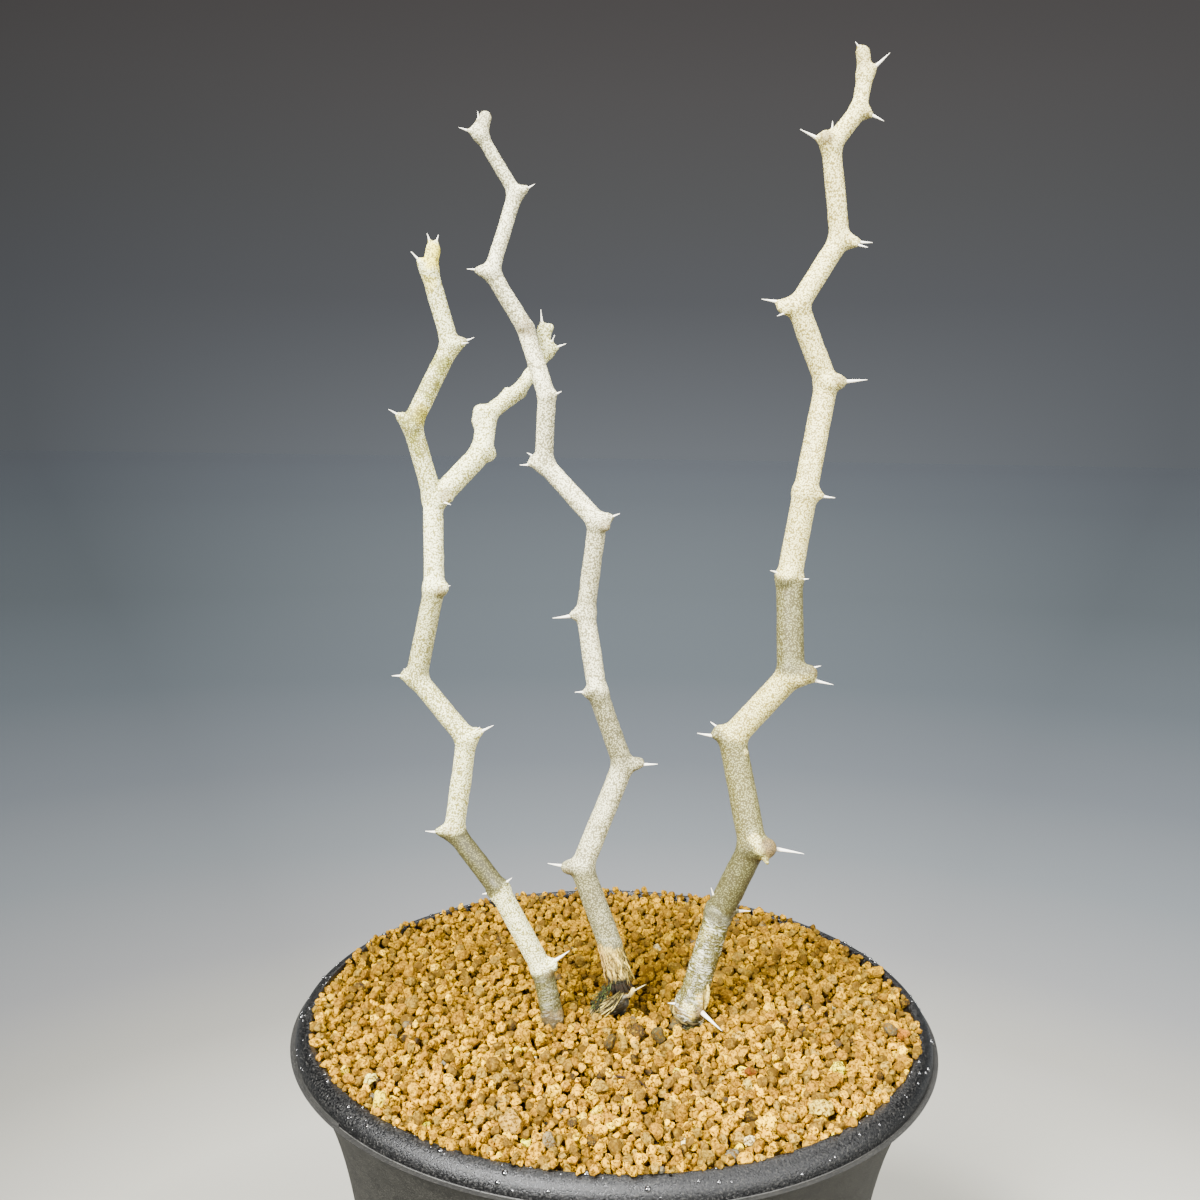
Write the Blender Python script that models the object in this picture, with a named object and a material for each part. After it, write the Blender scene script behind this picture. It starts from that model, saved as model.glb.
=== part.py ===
"""A potted Decarya: three zigzag, spiny stems in a round black plastic pot of fine ochre granules.

Run with: blender --background --python part.py
The part stands on z = 0 with the pot's axis on z, +Z up and the viewer on the -Y side. Units are metres.
"""

import math
from collections import namedtuple

import bmesh
import bpy
from mathutils import Matrix, Vector

MM = 0.001
GAP = 0.3

# Pot, in millimetres
POT_HEIGHT = 130.0
RIM_OUTER_RADIUS = 60.0
RIM_CREST_RADIUS = 57.2
RIM_INNER_RADIUS = 56.3
RIM_ROLL_HEIGHT = 3.2
LIP_DROP = 0.3
LIP_INSET = 0.2
INSIDE_TURN_DROP = 2.0
FOOT_RADIUS = 41.4
FOOT_RING_WIDTH = 2.4
WALL_TAPER = 0.07
WALL_FLARE = 11.6
FLARE_FADE = 17.0
WALL_THICKNESS = 1.2
FLOOR_UNDERSIDE = 3.0
FLOOR_THICKNESS = 1.5
POT_SIDES = 48
WALL_LEVELS = 9
ROLL_STEPS = 5
POT_CREASE_ANGLE = 35.0
CUTTER_OVERSHOOT = 2.0

# Drainage slots through the floor, and notches in the foot ring
DRAIN_SLOT_COUNT = 8
DRAIN_SLOT_LENGTH = 12.0
DRAIN_SLOT_WIDTH = 3.0
DRAIN_SLOT_RADIUS = 25.0
FOOT_NOTCH_COUNT = 4
FOOT_NOTCH_WIDTH = 9.0
FOOT_NOTCH_HEIGHT = 1.6

# Soil: a bed of granules, drawn larger than life as peaks on every second ring and place
SOIL_SIDE_GAP = 0.45
SOIL_EDGE_LEVEL = 128.9
SOIL_DOME = 0.8
SOIL_RINGS = 24
SIDES_PER_POT_SIDE = 3
GRAIN_PEAK = 0.9
GRAIN_PEAK_SPREAD = 0.45
GRAIN_RING_PHASE = 12.99
GRAIN_PLACE_PHASE = 78.23
SOIL_SIDE_LEVELS = 8
SOIL_SIDE_START = 3.0
SOIL_CREASE_ANGLE = 60.0
STEM_HOLE_SIDES = 16
STEM_HOLE_CLEARANCE = 0.15
STEM_HOLE_SPARE_DEPTH = 0.5
STEM_HOLE_TOP = 140.0
STEM_BURIED_END = 112.0

# Stems: rings of vertices along each internode, swollen at each joint
STEM_SIDES = 10
JOINT_REACH = 2.2
JOINT_REACH_SHARE = 0.34
JOINT_SHIFT = 0.22
TIP_DOME = 0.55
STEM_CREASE_ANGLE = 50.0

# Spines: five-sided, rooted at the joint's middle
SPINE_SIDES = 5
SPINE_ROOT_RADIUS = 0.75
SPINE_ROOT_SHARE = 0.2
HIDDEN_SPINE_SIDEWAYS = -0.1
HIDDEN_SPINE_BACK = 0.8
HIDDEN_SPINE_RISE = 0.1

# Frayed strips round the middle stem's base
FRAY_STRIP_COUNT = 9
FRAY_STRIP_LENGTH = 7.0
FRAY_STRIP_SPREAD = 1.6
FRAY_COLLAR_LEVEL = 140.0
FRAY_ROOT_SHARE = 0.45
FRAY_STRIP_RADIUS = 0.8
FRAY_LENGTH_SPREAD = 0.25

PLASTIC_COLOUR = (0.035, 0.038, 0.040)
GRANULE_COLOUR = (0.52, 0.33, 0.12)
BARK_COLOUR = (0.72, 0.70, 0.64)

Joint = namedtuple("Joint", "x y z width swell spines")
Dip = namedtuple("Dip", "x y depth radius")

# Each joint's place, the stem's thickness there, how far the joint swells, and how far each spine's tip
# reaches from the joint's middle. One spine alone gets a hidden partner towards the back.
LEFT_STEM = (
    Joint(-11.5, -9.0, 130.5, 4.2, 1.0, ()),
    Joint(-13.5, -8.5, 139.5, 4.1, 1.1, ((5.0, -2.0, 4.5),)),
    Joint(-21.5, -10.5, 155.5, 3.8, 1.1, ((2.5, -2.0, 3.0), (-3.0, -1.0, -0.5))),
    Joint(-30.0, -8.0, 165.5, 3.8, 1.25, ((-5.0, -1.5, 0.5),)),
    Joint(-27.5, -10.0, 183.5, 3.7, 1.3, ((5.0, -2.0, 3.0), (2.5, -2.0, 2.5))),
    Joint(-37.0, -7.0, 194.0, 3.8, 1.2, ((-4.0, -1.5, 0.5), (-2.5, 1.5, 1.5))),
    Joint(-33.5, -8.5, 210.5, 3.7, 1.15, ((3.0, -1.0, 0.5),)),
    Joint(-34.0, -6.5, 226.5, 3.5, 1.15, ((3.5, -2.5, -1.0),)),
    Joint(-37.5, -8.0, 239.5, 3.4, 1.25, ((-4.0, -1.5, 2.5),)),
    Joint(-31.0, -5.5, 253.5, 3.3, 1.3, ((4.0, 1.0, 1.5), (3.5, -2.0, 0.5))),
    Joint(-34.5, -7.0, 266.0, 2.9, 1.3, ((-3.0, -1.0, 3.0),)),
    Joint(-34.0, -6.0, 269.5, 2.1, 1.0, ((-1.0, -0.5, 2.5), (1.0, 0.5, 2.5))),
)
SIDE_BRANCH = (
    Joint(-33.5, -6.5, 226.0, 3.8, 1.0, ()),
    Joint(-25.5, -2.5, 235.0, 4.2, 1.15, ()),
    Joint(-25.0, -1.0, 241.5, 3.4, 1.15, ()),
    Joint(-19.5, 2.5, 246.0, 2.9, 1.05, ()),
    Joint(-17.5, 4.5, 249.0, 2.5, 1.0, ()),
    Joint(-14.5, 6.5, 253.5, 2.4, 1.25, ((3.5, -1.0, 1.5), (1.5, -1.5, 3.0))),
    Joint(-15.0, 7.0, 258.0, 2.2, 1.2, ((-0.5, -0.5, 3.5),)),
)
MIDDLE_STEM = (
    Joint(1.0, -3.0, 131.0, 3.0, 1.0, ((5.5, -2.0, 4.0),)),
    Joint(0.0, -3.5, 141.5, 4.7, 1.05, ()),
    Joint(-6.5, -5.0, 158.0, 4.4, 1.2, ((-6.5, -1.5, 1.0),)),
    Joint(1.0, -2.0, 177.0, 4.1, 1.25, ((6.5, -1.5, 0.5),)),
    Joint(-4.0, -4.0, 191.0, 3.8, 1.15, ((-4.0, -1.5, 0.5),)),
    Joint(-6.5, -1.5, 205.5, 3.6, 1.15, ((-6.0, -1.5, -1.0),)),
    Joint(-4.5, -4.0, 222.5, 3.4, 1.25, ((4.0, -1.0, 1.5),)),
    Joint(-14.5, -1.5, 233.0, 3.4, 1.25, ((-3.0, 1.0, 2.0), (-4.5, -1.0, -0.5))),
    Joint(-14.0, -3.0, 245.0, 3.4, 1.05, ((2.5, -1.0, 1.0),)),
    Joint(-18.0, -1.5, 257.0, 3.1, 1.1, ()),
    Joint(-24.0, -3.5, 266.5, 2.9, 1.4, ((-4.0, -1.0, 0.5),)),
    Joint(-20.0, -1.0, 280.5, 2.6, 1.3, ((3.5, -1.0, 1.5),)),
    Joint(-26.0, -3.0, 290.0, 2.3, 1.3, ((-3.5, -1.0, 1.0), (-0.5, -0.5, 4.0))),
    Joint(-25.5, -2.5, 293.0, 1.9, 1.0, ()),
)
RIGHT_STEM = (
    Joint(14.5, -6.5, 132.5, 5.2, 1.2, ((-4.5, -1.5, 0.5), (5.0, -7.0, -2.0))),
    Joint(19.5, -4.5, 149.5, 5.2, 1.05, ((-2.0, -1.5, 5.5), (6.0, 0.5, 0.0))),
    Joint(25.0, -7.5, 163.5, 5.3, 1.25, ((9.0, -2.0, -1.0),)),
    Joint(21.0, -4.0, 183.0, 5.0, 1.2, ((-6.5, -1.5, 1.0), (-4.0, 1.0, 2.5))),
    Joint(31.0, -7.0, 195.5, 5.0, 1.3, ((7.5, -2.0, -1.5), (5.5, 1.0, 1.5))),
    Joint(30.5, -4.5, 213.0, 4.8, 1.15, ((-3.5, -1.5, 1.5), (3.5, -1.5, 0.0))),
    Joint(32.5, -6.5, 228.5, 4.4, 1.1, ((5.0, -1.0, -1.0),)),
    Joint(36.0, -4.0, 248.0, 4.2, 1.25, ((7.0, -1.5, 0.5),)),
    Joint(30.0, -6.5, 261.0, 3.9, 1.3, ((-6.5, 0.5, 1.0), (-3.5, -1.0, -2.0))),
    Joint(37.5, -3.5, 273.0, 3.6, 1.3, ((5.5, -1.0, -0.5), (4.5, -2.5, -1.5))),
    Joint(35.0, -5.5, 288.5, 3.3, 1.25, ((-5.5, -1.0, 2.5), (0.0, -0.5, 4.0))),
    Joint(40.0, -3.5, 295.0, 2.9, 1.2, ((4.0, -1.0, -2.5),)),
    Joint(41.0, -3.0, 301.0, 2.5, 1.15, ((4.0, -1.0, 3.5),)),
    Joint(40.5, -3.0, 305.0, 2.1, 1.0, ((-1.0, -0.5, 1.0),)),
)

# Shallow dips in the soil beside the middle and right stems
SOIL_DIPS = (
    Dip(2.0, 0.0, 2.0, 6.0),
    Dip(15.0, -7.0, 0.9, 5.0),
)


def clear_scene():
    """Remove every object that the file starts with."""
    for item in list(bpy.data.objects):
        bpy.data.objects.remove(item, do_unlink=True)


def material(name, colour, roughness):
    """A Principled material of one plain colour."""
    made = bpy.data.materials.new(name)
    made.use_nodes = True
    shader = made.node_tree.nodes["Principled BSDF"]
    shader.inputs["Base Color"].default_value = (*colour, 1.0)
    shader.inputs["Roughness"].default_value = roughness
    shader.inputs["Metallic"].default_value = 0.0
    return made


def object_from_bmesh(name, body, finish=None):
    """Put a finished bmesh, drawn in millimetres, into a new object in metres."""
    bmesh.ops.scale(body, vec=Vector((MM, MM, MM)), verts=body.verts)
    bmesh.ops.recalc_face_normals(body, faces=body.faces)
    mesh = bpy.data.meshes.new(name)
    body.to_mesh(mesh)
    body.free()
    made = bpy.data.objects.new(name, mesh)
    bpy.context.scene.collection.objects.link(made)
    if finish is not None:
        mesh.materials.append(finish)
    return made


def apply_boolean(target, operation, operands):
    """Cut or join a list of objects into the target, apply the result, and remove them."""
    group = bpy.data.collections.new(target.name + "_operands")
    bpy.context.scene.collection.children.link(group)
    for item in operands:
        bpy.context.scene.collection.objects.unlink(item)
        group.objects.link(item)
    modifier = target.modifiers.new("joined", "BOOLEAN")
    modifier.operation = operation
    modifier.solver = "EXACT"
    modifier.operand_type = "COLLECTION"
    modifier.collection = group
    bpy.context.view_layer.update()
    evaluated = target.evaluated_get(bpy.context.evaluated_depsgraph_get())
    result = bpy.data.meshes.new_from_object(evaluated)
    target.modifiers.clear()
    target.data = result
    for item in list(group.objects):
        bpy.data.objects.remove(item, do_unlink=True)
    bpy.data.collections.remove(group)


def shade_smooth(target, sharp_angle):
    """Smooth shading, with creases sharper than the angle kept."""
    target.data.shade_smooth()
    target.data.set_sharp_from_angle(angle=math.radians(sharp_angle))


def wall_radius(height):
    """Outer radius of the pot's wall: a slight taper, flaring out towards the rim."""
    flare = WALL_FLARE * math.exp(-(POT_HEIGHT - height) / FLARE_FADE)
    return FOOT_RADIUS + WALL_TAPER * height + flare


def inner_radius(height):
    """Radius of the pot's inside, which runs up straight behind the rim."""
    return min(wall_radius(height) - WALL_THICKNESS, RIM_INNER_RADIUS)


def spread_heights(low, high, count):
    """Heights that crowd towards the rim, where the wall curves most."""
    steps = []
    for step in range(count):
        share = step / (count - 1)
        steps.append(low + (high - low) * (1.0 - (1.0 - share) ** 2))
    return steps


def rim_arc():
    """The rolled rim from its outermost line over the crest to the inside, as (radius, height)."""
    outer_reach = RIM_OUTER_RADIUS - RIM_CREST_RADIUS
    inner_reach = RIM_CREST_RADIUS - RIM_INNER_RADIUS
    points = []
    for step in range(2 * ROLL_STEPS + 1):
        angle = math.pi * step / (2 * ROLL_STEPS)
        reach = outer_reach if step < ROLL_STEPS else inner_reach
        height = POT_HEIGHT - RIM_ROLL_HEIGHT + RIM_ROLL_HEIGHT * math.sin(angle)
        points.append((RIM_CREST_RADIUS + reach * math.cos(angle), height))
    return points


def pot_profile():
    """The pot's closed section, from the foot up the outside and down the inside, as (radius, height)."""
    lip_height = POT_HEIGHT - RIM_ROLL_HEIGHT - LIP_DROP
    floor_top = FLOOR_UNDERSIDE + FLOOR_THICKNESS
    ring_inside = FOOT_RADIUS - FOOT_RING_WIDTH
    outside = [(wall_radius(height), height) for height in spread_heights(0.0, lip_height, WALL_LEVELS)]
    lip = [(RIM_OUTER_RADIUS - LIP_INSET, lip_height)]
    inside_top = POT_HEIGHT - RIM_ROLL_HEIGHT - INSIDE_TURN_DROP
    inside_heights = spread_heights(floor_top, inside_top, WALL_LEVELS)
    inside = [(inner_radius(height), height) for height in reversed(inside_heights)]
    floor = [(0.0, floor_top), (0.0, FLOOR_UNDERSIDE), (ring_inside, FLOOR_UNDERSIDE), (ring_inside, 0.0)]
    return outside + lip + rim_arc() + inside + floor


def spin_profile(profile, sides):
    """Turn a closed section about the z axis into a closed bmesh."""
    body = bmesh.new()
    rings = []
    for radius, height in profile:
        if radius == 0.0:
            rings.append([body.verts.new((0.0, 0.0, height))])
            continue
        ring = []
        for side in range(sides):
            angle = 2.0 * math.pi * side / sides
            ring.append(body.verts.new((radius * math.cos(angle), radius * math.sin(angle), height)))
        rings.append(ring)
    for index, ring in enumerate(rings):
        join_rings(body, ring, rings[(index + 1) % len(rings)])
    return body


def join_rings(body, first, second):
    """Faces between two rings of equal count, or between a ring and a single point."""
    if len(first) == 1 and len(second) == 1:
        return
    count = max(len(first), len(second))
    for side in range(count):
        after = (side + 1) % count
        if len(first) == 1:
            body.faces.new((first[0], second[side], second[after]))
        elif len(second) == 1:
            body.faces.new((first[side], first[after], second[0]))
        else:
            body.faces.new((first[side], first[after], second[after], second[side]))


def box_cutter(name, size, place, angle):
    """A box, in millimetres, turned about the z axis through the origin."""
    body = bmesh.new()
    bmesh.ops.create_cube(body, size=1.0)
    bmesh.ops.scale(body, vec=Vector(size), verts=body.verts)
    bmesh.ops.translate(body, vec=Vector(place), verts=body.verts)
    turn = Matrix.Rotation(angle, 3, "Z")
    bmesh.ops.rotate(body, cent=Vector(), matrix=turn, verts=body.verts)
    return object_from_bmesh(name, body)


def drain_cutters():
    """Radial slots through the floor."""
    cutters = []
    depth = FLOOR_THICKNESS + CUTTER_OVERSHOOT
    height = FLOOR_UNDERSIDE + FLOOR_THICKNESS / 2.0
    for index in range(DRAIN_SLOT_COUNT):
        angle = 2.0 * math.pi * (index + 0.5) / DRAIN_SLOT_COUNT
        size = (DRAIN_SLOT_LENGTH, DRAIN_SLOT_WIDTH, depth)
        cutters.append(box_cutter("drain_slot", size, (DRAIN_SLOT_RADIUS, 0.0, height), angle))
    return cutters


def notch_cutters():
    """Notches that let water out under the foot ring."""
    cutters = []
    for index in range(FOOT_NOTCH_COUNT):
        angle = 2.0 * math.pi * (index + 0.5) / FOOT_NOTCH_COUNT
        size = (2.0 * (FOOT_RING_WIDTH + CUTTER_OVERSHOOT), FOOT_NOTCH_WIDTH, 2.0 * FOOT_NOTCH_HEIGHT)
        cutters.append(box_cutter("foot_notch", size, (FOOT_RADIUS, 0.0, 0.0), angle))
    return cutters


def build_pot(finish):
    """The moulded pot, with its slots and notches cut."""
    pot = object_from_bmesh("pot", spin_profile(pot_profile(), POT_SIDES), finish)
    apply_boolean(pot, "DIFFERENCE", drain_cutters() + notch_cutters())
    shade_smooth(pot, POT_CREASE_ANGLE)
    return pot


def grain_height(ring, place):
    """Height of the relief: an uneven peak on every second ring and place, and a hollow between peaks."""
    if ring % 2 or place % 2:
        return 0.0
    return GRAIN_PEAK + GRAIN_PEAK_SPREAD * math.sin(GRAIN_RING_PHASE * ring + GRAIN_PLACE_PHASE * place)


def soil_level(x, y):
    """Smooth level of the soil: slightly domed, with the dips beside the stems."""
    share = math.hypot(x, y) / RIM_INNER_RADIUS
    level = SOIL_EDGE_LEVEL + SOIL_DOME * (1.0 - share * share)
    for dip in SOIL_DIPS:
        distance = math.hypot(x - dip.x, y - dip.y)
        level -= dip.depth * math.exp(-((distance / dip.radius) ** 2))
    return level


def soil_top_rings(body, radius):
    """Vertices of the soil's top: ring n has 6 n places, so they lie on a near-even triangular net."""
    rings = []
    for ring in range(SOIL_RINGS + 1):
        places = max(1, 6 * ring)
        ring_radius = radius * ring / SOIL_RINGS
        row = []
        for place in range(places):
            angle = 2.0 * math.pi * place / places
            x = ring_radius * math.cos(angle)
            y = ring_radius * math.sin(angle)
            raised = grain_height(ring, place) if ring < SOIL_RINGS else 0.0
            row.append(body.verts.new((x, y, soil_level(x, y) + raised)))
        rings.append(row)
    return rings


def fill_soil_top(body, rings):
    """Triangles between the rings, sector by sector."""
    for ring in range(1, len(rings)):
        inner = rings[ring - 1]
        outer = rings[ring]
        for sector in range(6):
            for step in range(ring):
                first = outer[sector * ring + step]
                second = outer[(sector * ring + step + 1) % len(outer)]
                below = inner[(sector * (ring - 1) + step) % len(inner)]
                body.faces.new((first, second, below))
                if step < ring - 1:
                    beside = inner[(sector * (ring - 1) + step + 1) % len(inner)]
                    body.faces.new((second, beside, below))


def soil_radius(height):
    """Radius of the soil's side, just inside the pot's wall."""
    return inner_radius(height) - SOIL_SIDE_GAP


def soil_side_rings(body):
    """Rings down the soil's side, one place for each side of the pot, from just below the top."""
    bottom = FLOOR_UNDERSIDE + FLOOR_THICKNESS + GAP
    heights = spread_heights(bottom, SOIL_EDGE_LEVEL - SOIL_SIDE_START, SOIL_SIDE_LEVELS)
    heights.reverse()
    rings = []
    for height in heights:
        ring = []
        for side in range(POT_SIDES):
            angle = 2.0 * math.pi * side / POT_SIDES
            radius = soil_radius(height)
            ring.append(body.verts.new((radius * math.cos(angle), radius * math.sin(angle), height)))
        rings.append(ring)
    return rings


def join_fine_to_coarse(body, fine, coarse):
    """Fans between the top's fine edge and the first side ring."""
    for side in range(len(coarse)):
        start = side * SIDES_PER_POT_SIDE
        after = coarse[(side + 1) % len(coarse)]
        for step in range(SIDES_PER_POT_SIDE):
            first = fine[(start + step) % len(fine)]
            second = fine[(start + step + 1) % len(fine)]
            body.faces.new((first, coarse[side], second))
        last = fine[(start + SIDES_PER_POT_SIDE) % len(fine)]
        body.faces.new((last, coarse[side], after))


def stem_hole(name, base):
    """A plain round hole for a buried stem, cut straight down past its end."""
    radius = base.width / 2.0 * base.swell + GAP + STEM_HOLE_CLEARANCE
    low = STEM_BURIED_END - STEM_HOLE_SPARE_DEPTH
    high = STEM_HOLE_TOP
    body = bmesh.new()
    bmesh.ops.create_cone(
        body, cap_ends=True, cap_tris=False, segments=STEM_HOLE_SIDES,
        radius1=radius, radius2=radius, depth=high - low,
    )
    bmesh.ops.translate(body, vec=Vector((base.x, base.y, (low + high) / 2.0)), verts=body.verts)
    return object_from_bmesh(name, body)


def build_soil(finish):
    """The bed of granules, with a hole for each stem."""
    body = bmesh.new()
    top = soil_top_rings(body, RIM_INNER_RADIUS - SOIL_SIDE_GAP)
    fill_soil_top(body, top)
    sides = soil_side_rings(body)
    join_fine_to_coarse(body, top[-1], sides[0])
    for index in range(len(sides) - 1):
        join_rings(body, sides[index], sides[index + 1])
    body.faces.new(reversed(sides[-1]))
    soil = object_from_bmesh("soil", body, finish)
    holes = [stem_hole("stem_hole", stem[0]) for stem in (LEFT_STEM, MIDDLE_STEM, RIGHT_STEM)]
    apply_boolean(soil, "DIFFERENCE", holes)
    shade_smooth(soil, SOIL_CREASE_ANGLE)
    return soil


def joint_point(joint):
    """A joint's middle as a vector."""
    return Vector((joint.x, joint.y, joint.z))


def stem_stations(joints):
    """Places along a stem as (point, radius): each joint, swollen to the outer side of its bend, and a
    station on either side of it where the internode has its plain thickness."""
    points = [joint_point(joint) for joint in joints]
    stations = [(points[0], joints[0].width / 2.0 * joints[0].swell)]
    for index in range(1, len(points)):
        run = points[index] - points[index - 1]
        step = min(JOINT_REACH, JOINT_REACH_SHARE * run.length)
        along = run.normalized()
        stations.append((points[index - 1] + along * step, joints[index - 1].width / 2.0))
        stations.append((points[index] - along * step, joints[index].width / 2.0))
        if index < len(points) - 1:
            onward = (points[index + 1] - points[index]).normalized()
            outward = along - onward
            swollen = joints[index].width / 2.0 * joints[index].swell
            stations.append((points[index] + outward * swollen * JOINT_SHIFT, swollen))
    stations.append((points[-1], joints[-1].width / 2.0))
    return stations


def swept_tube(stations, sides):
    """A closed tube through the stations, with a pointed dome at its far end and a flat near end."""
    body = bmesh.new()
    count = len(stations)
    side_axis = Vector((1.0, 0.0, 0.0))
    rings = []
    for index in range(count):
        before = stations[max(index - 1, 0)][0]
        after = stations[min(index + 1, count - 1)][0]
        along = (after - before).normalized()
        side_axis = (side_axis - along * side_axis.dot(along)).normalized()
        other_axis = along.cross(side_axis)
        ring = []
        for side in range(sides):
            angle = 2.0 * math.pi * side / sides
            offset = side_axis * math.cos(angle) + other_axis * math.sin(angle)
            ring.append(body.verts.new(stations[index][0] + offset * stations[index][1]))
        rings.append(ring)
    for index in range(count - 1):
        join_rings(body, rings[index], rings[index + 1])
    end_point, end_radius = stations[-1]
    end_along = (end_point - stations[-2][0]).normalized()
    tip = body.verts.new(end_point + end_along * end_radius * TIP_DOME)
    join_rings(body, rings[-1], [tip])
    body.faces.new(reversed(rings[0]))
    return body


def tapered_prong(name, root, tip, root_radius, sides):
    """A straight, pointed prong from its root to its tip."""
    body = bmesh.new()
    reach = tip - root
    bmesh.ops.create_cone(
        body, cap_ends=True, cap_tris=False, segments=sides,
        radius1=root_radius, radius2=0.0, depth=reach.length,
    )
    turn = reach.to_track_quat("Z", "Y").to_matrix()
    bmesh.ops.rotate(body, cent=Vector(), matrix=turn, verts=body.verts)
    bmesh.ops.translate(body, vec=(root + tip) / 2.0, verts=body.verts)
    return object_from_bmesh(name, body)


def joint_spines(joint):
    """The reaches of a joint's spines, with a partner towards the back where one stands alone."""
    reaches = [Vector(reach) for reach in joint.spines]
    if len(reaches) == 1:
        shown = reaches[0]
        sideways = shown.x * HIDDEN_SPINE_SIDEWAYS
        backward = shown.length * HIDDEN_SPINE_BACK
        upward = abs(shown.z) * HIDDEN_SPINE_RISE
        partner = Vector((sideways, backward, upward))
        reaches.append(partner)
    return reaches


def spine_objects(joints):
    """One prong for each spine of a stem, rooted in its joint."""
    spines = []
    for joint in joints:
        middle = joint_point(joint)
        for reach in joint_spines(joint):
            radius = min(SPINE_ROOT_RADIUS, SPINE_ROOT_SHARE * joint.width)
            spines.append(tapered_prong("spine", middle, middle + reach, radius, SPINE_SIDES))
    return spines


def buried_stations(base):
    """The straight, buried end of a stem, up to just under its first joint."""
    radius = base.width / 2.0
    low = Vector((base.x, base.y, STEM_BURIED_END))
    high = Vector((base.x, base.y, base.z - JOINT_REACH))
    return [(low, radius), (high, radius)]


def build_stem(name, joints, finish, extras=()):
    """One stem from its buried end to its tip, with its spines and any extra limbs fused on."""
    stations = buried_stations(joints[0]) + stem_stations(joints)
    stem = object_from_bmesh(name, swept_tube(stations, STEM_SIDES), finish)
    apply_boolean(stem, "UNION", list(extras) + spine_objects(joints))
    shade_smooth(stem, STEM_CREASE_ANGLE)
    return stem


def side_branch_objects():
    """The left stem's side branch and its spines."""
    branch = object_from_bmesh("branch", swept_tube(stem_stations(SIDE_BRANCH), STEM_SIDES))
    return [branch] + spine_objects(SIDE_BRANCH)


def frayed_strips():
    """Loose, dry strips of bark that point down round the middle stem's base."""
    base = MIDDLE_STEM[0]
    strips = []
    for index in range(FRAY_STRIP_COUNT):
        angle = 2.0 * math.pi * (index + 0.3) / FRAY_STRIP_COUNT
        outward = Vector((math.cos(angle), math.sin(angle), 0.0))
        root = Vector((base.x, base.y, FRAY_COLLAR_LEVEL)) + outward * base.width * FRAY_ROOT_SHARE
        length = FRAY_STRIP_LENGTH * (1.0 - FRAY_LENGTH_SPREAD * (index % 2))
        tip = root + outward * FRAY_STRIP_SPREAD - Vector((0.0, 0.0, length))
        strips.append(tapered_prong("strip", root, tip, FRAY_STRIP_RADIUS, SPINE_SIDES))
    return strips


def main():
    """Build every node."""
    clear_scene()
    build_pot(material("pot_plastic", PLASTIC_COLOUR, 0.55))
    build_soil(material("soil_granules", GRANULE_COLOUR, 0.95))
    build_stem("stem_left", LEFT_STEM, material("bark_left", BARK_COLOUR, 0.6), side_branch_objects())
    build_stem("stem_middle", MIDDLE_STEM, material("bark_middle", BARK_COLOUR, 0.65), frayed_strips())
    build_stem("stem_right", RIGHT_STEM, material("bark_right", BARK_COLOUR, 0.6))


main()
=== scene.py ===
"""Looks of the potted decarya: bark, spines, granules and plastic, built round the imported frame."""

import math
from collections import namedtuple

import bmesh
import bpy
import numpy as np
from mathutils import Matrix, Vector


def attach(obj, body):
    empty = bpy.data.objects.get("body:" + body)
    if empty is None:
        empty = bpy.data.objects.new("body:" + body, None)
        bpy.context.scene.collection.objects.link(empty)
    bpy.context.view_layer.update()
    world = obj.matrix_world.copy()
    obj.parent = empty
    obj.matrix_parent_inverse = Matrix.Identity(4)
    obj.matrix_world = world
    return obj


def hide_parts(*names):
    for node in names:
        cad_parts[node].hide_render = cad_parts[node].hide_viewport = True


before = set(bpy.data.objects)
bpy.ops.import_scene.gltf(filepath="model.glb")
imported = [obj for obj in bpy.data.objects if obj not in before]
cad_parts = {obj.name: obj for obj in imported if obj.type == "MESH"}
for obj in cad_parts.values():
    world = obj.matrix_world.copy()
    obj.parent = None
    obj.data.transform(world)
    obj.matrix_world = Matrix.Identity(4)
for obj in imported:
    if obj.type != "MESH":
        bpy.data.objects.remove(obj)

MM = 0.001

# Camera, in metres and degrees
CAMERA_PLACE = (-0.00385, -0.2216, 0.2353)
CAMERA_PITCH = -7.07
CAMERA_ROLL = -0.88
CAMERA_LENS = 36.0
SENSOR_WIDTH = 36.0
CAMERA_NEAR = 0.01
CAMERA_FAR = 50.0

# Pot, in millimetres
POT_HEIGHT = 130.0
RIM_OUTER_RADIUS = 60.0
RIM_CREST_RADIUS = 57.2
RIM_INNER_RADIUS = 56.3
RIM_ROLL_HEIGHT = 3.2
LIP_DROP = 0.3
FOOT_RADIUS = 41.4
FOOT_RING_WIDTH = 2.4
WALL_TAPER = 0.07
WALL_FLARE = 11.6
FLARE_FADE = 17.0
WALL_THICKNESS = 1.2
FLOOR_UNDERSIDE = 3.0
FLOOR_THICKNESS = 1.5
FLOOR_TOP = FLOOR_UNDERSIDE + FLOOR_THICKNESS
ROLL_FOOT = POT_HEIGHT - RIM_ROLL_HEIGHT
LIP_HEIGHT = ROLL_FOOT - LIP_DROP
POT_SIDES = 192
WALL_STEPS = 44
ROLL_STEPS = 22
INSIDE_STEPS = 16
POT_CREASE = 50.0
DRAIN_SLOT_COUNT = 8
DRAIN_SLOT_SIZE = (12.0, 3.0, 4.0)
DRAIN_SLOT_RADIUS = 25.0
FOOT_NOTCH_COUNT = 4
FOOT_NOTCH_SIZE = (9.0, 9.0, 3.2)
DROPLET_COUNT = 150
DROPLET_SMALLEST = 0.18
DROPLET_LARGEST = 0.62
DROPLET_FLATNESS = 0.62
DROPLET_ROLLS = (0.25, 1.75)
DROPLET_BIAS = 2.2
FLASH_START = 186.0
FLASH_END = 222.0
FLASH_DEPTH = 1.1
FLASH_STEPS = 150
FLASH_CREASE = 40.0

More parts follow.
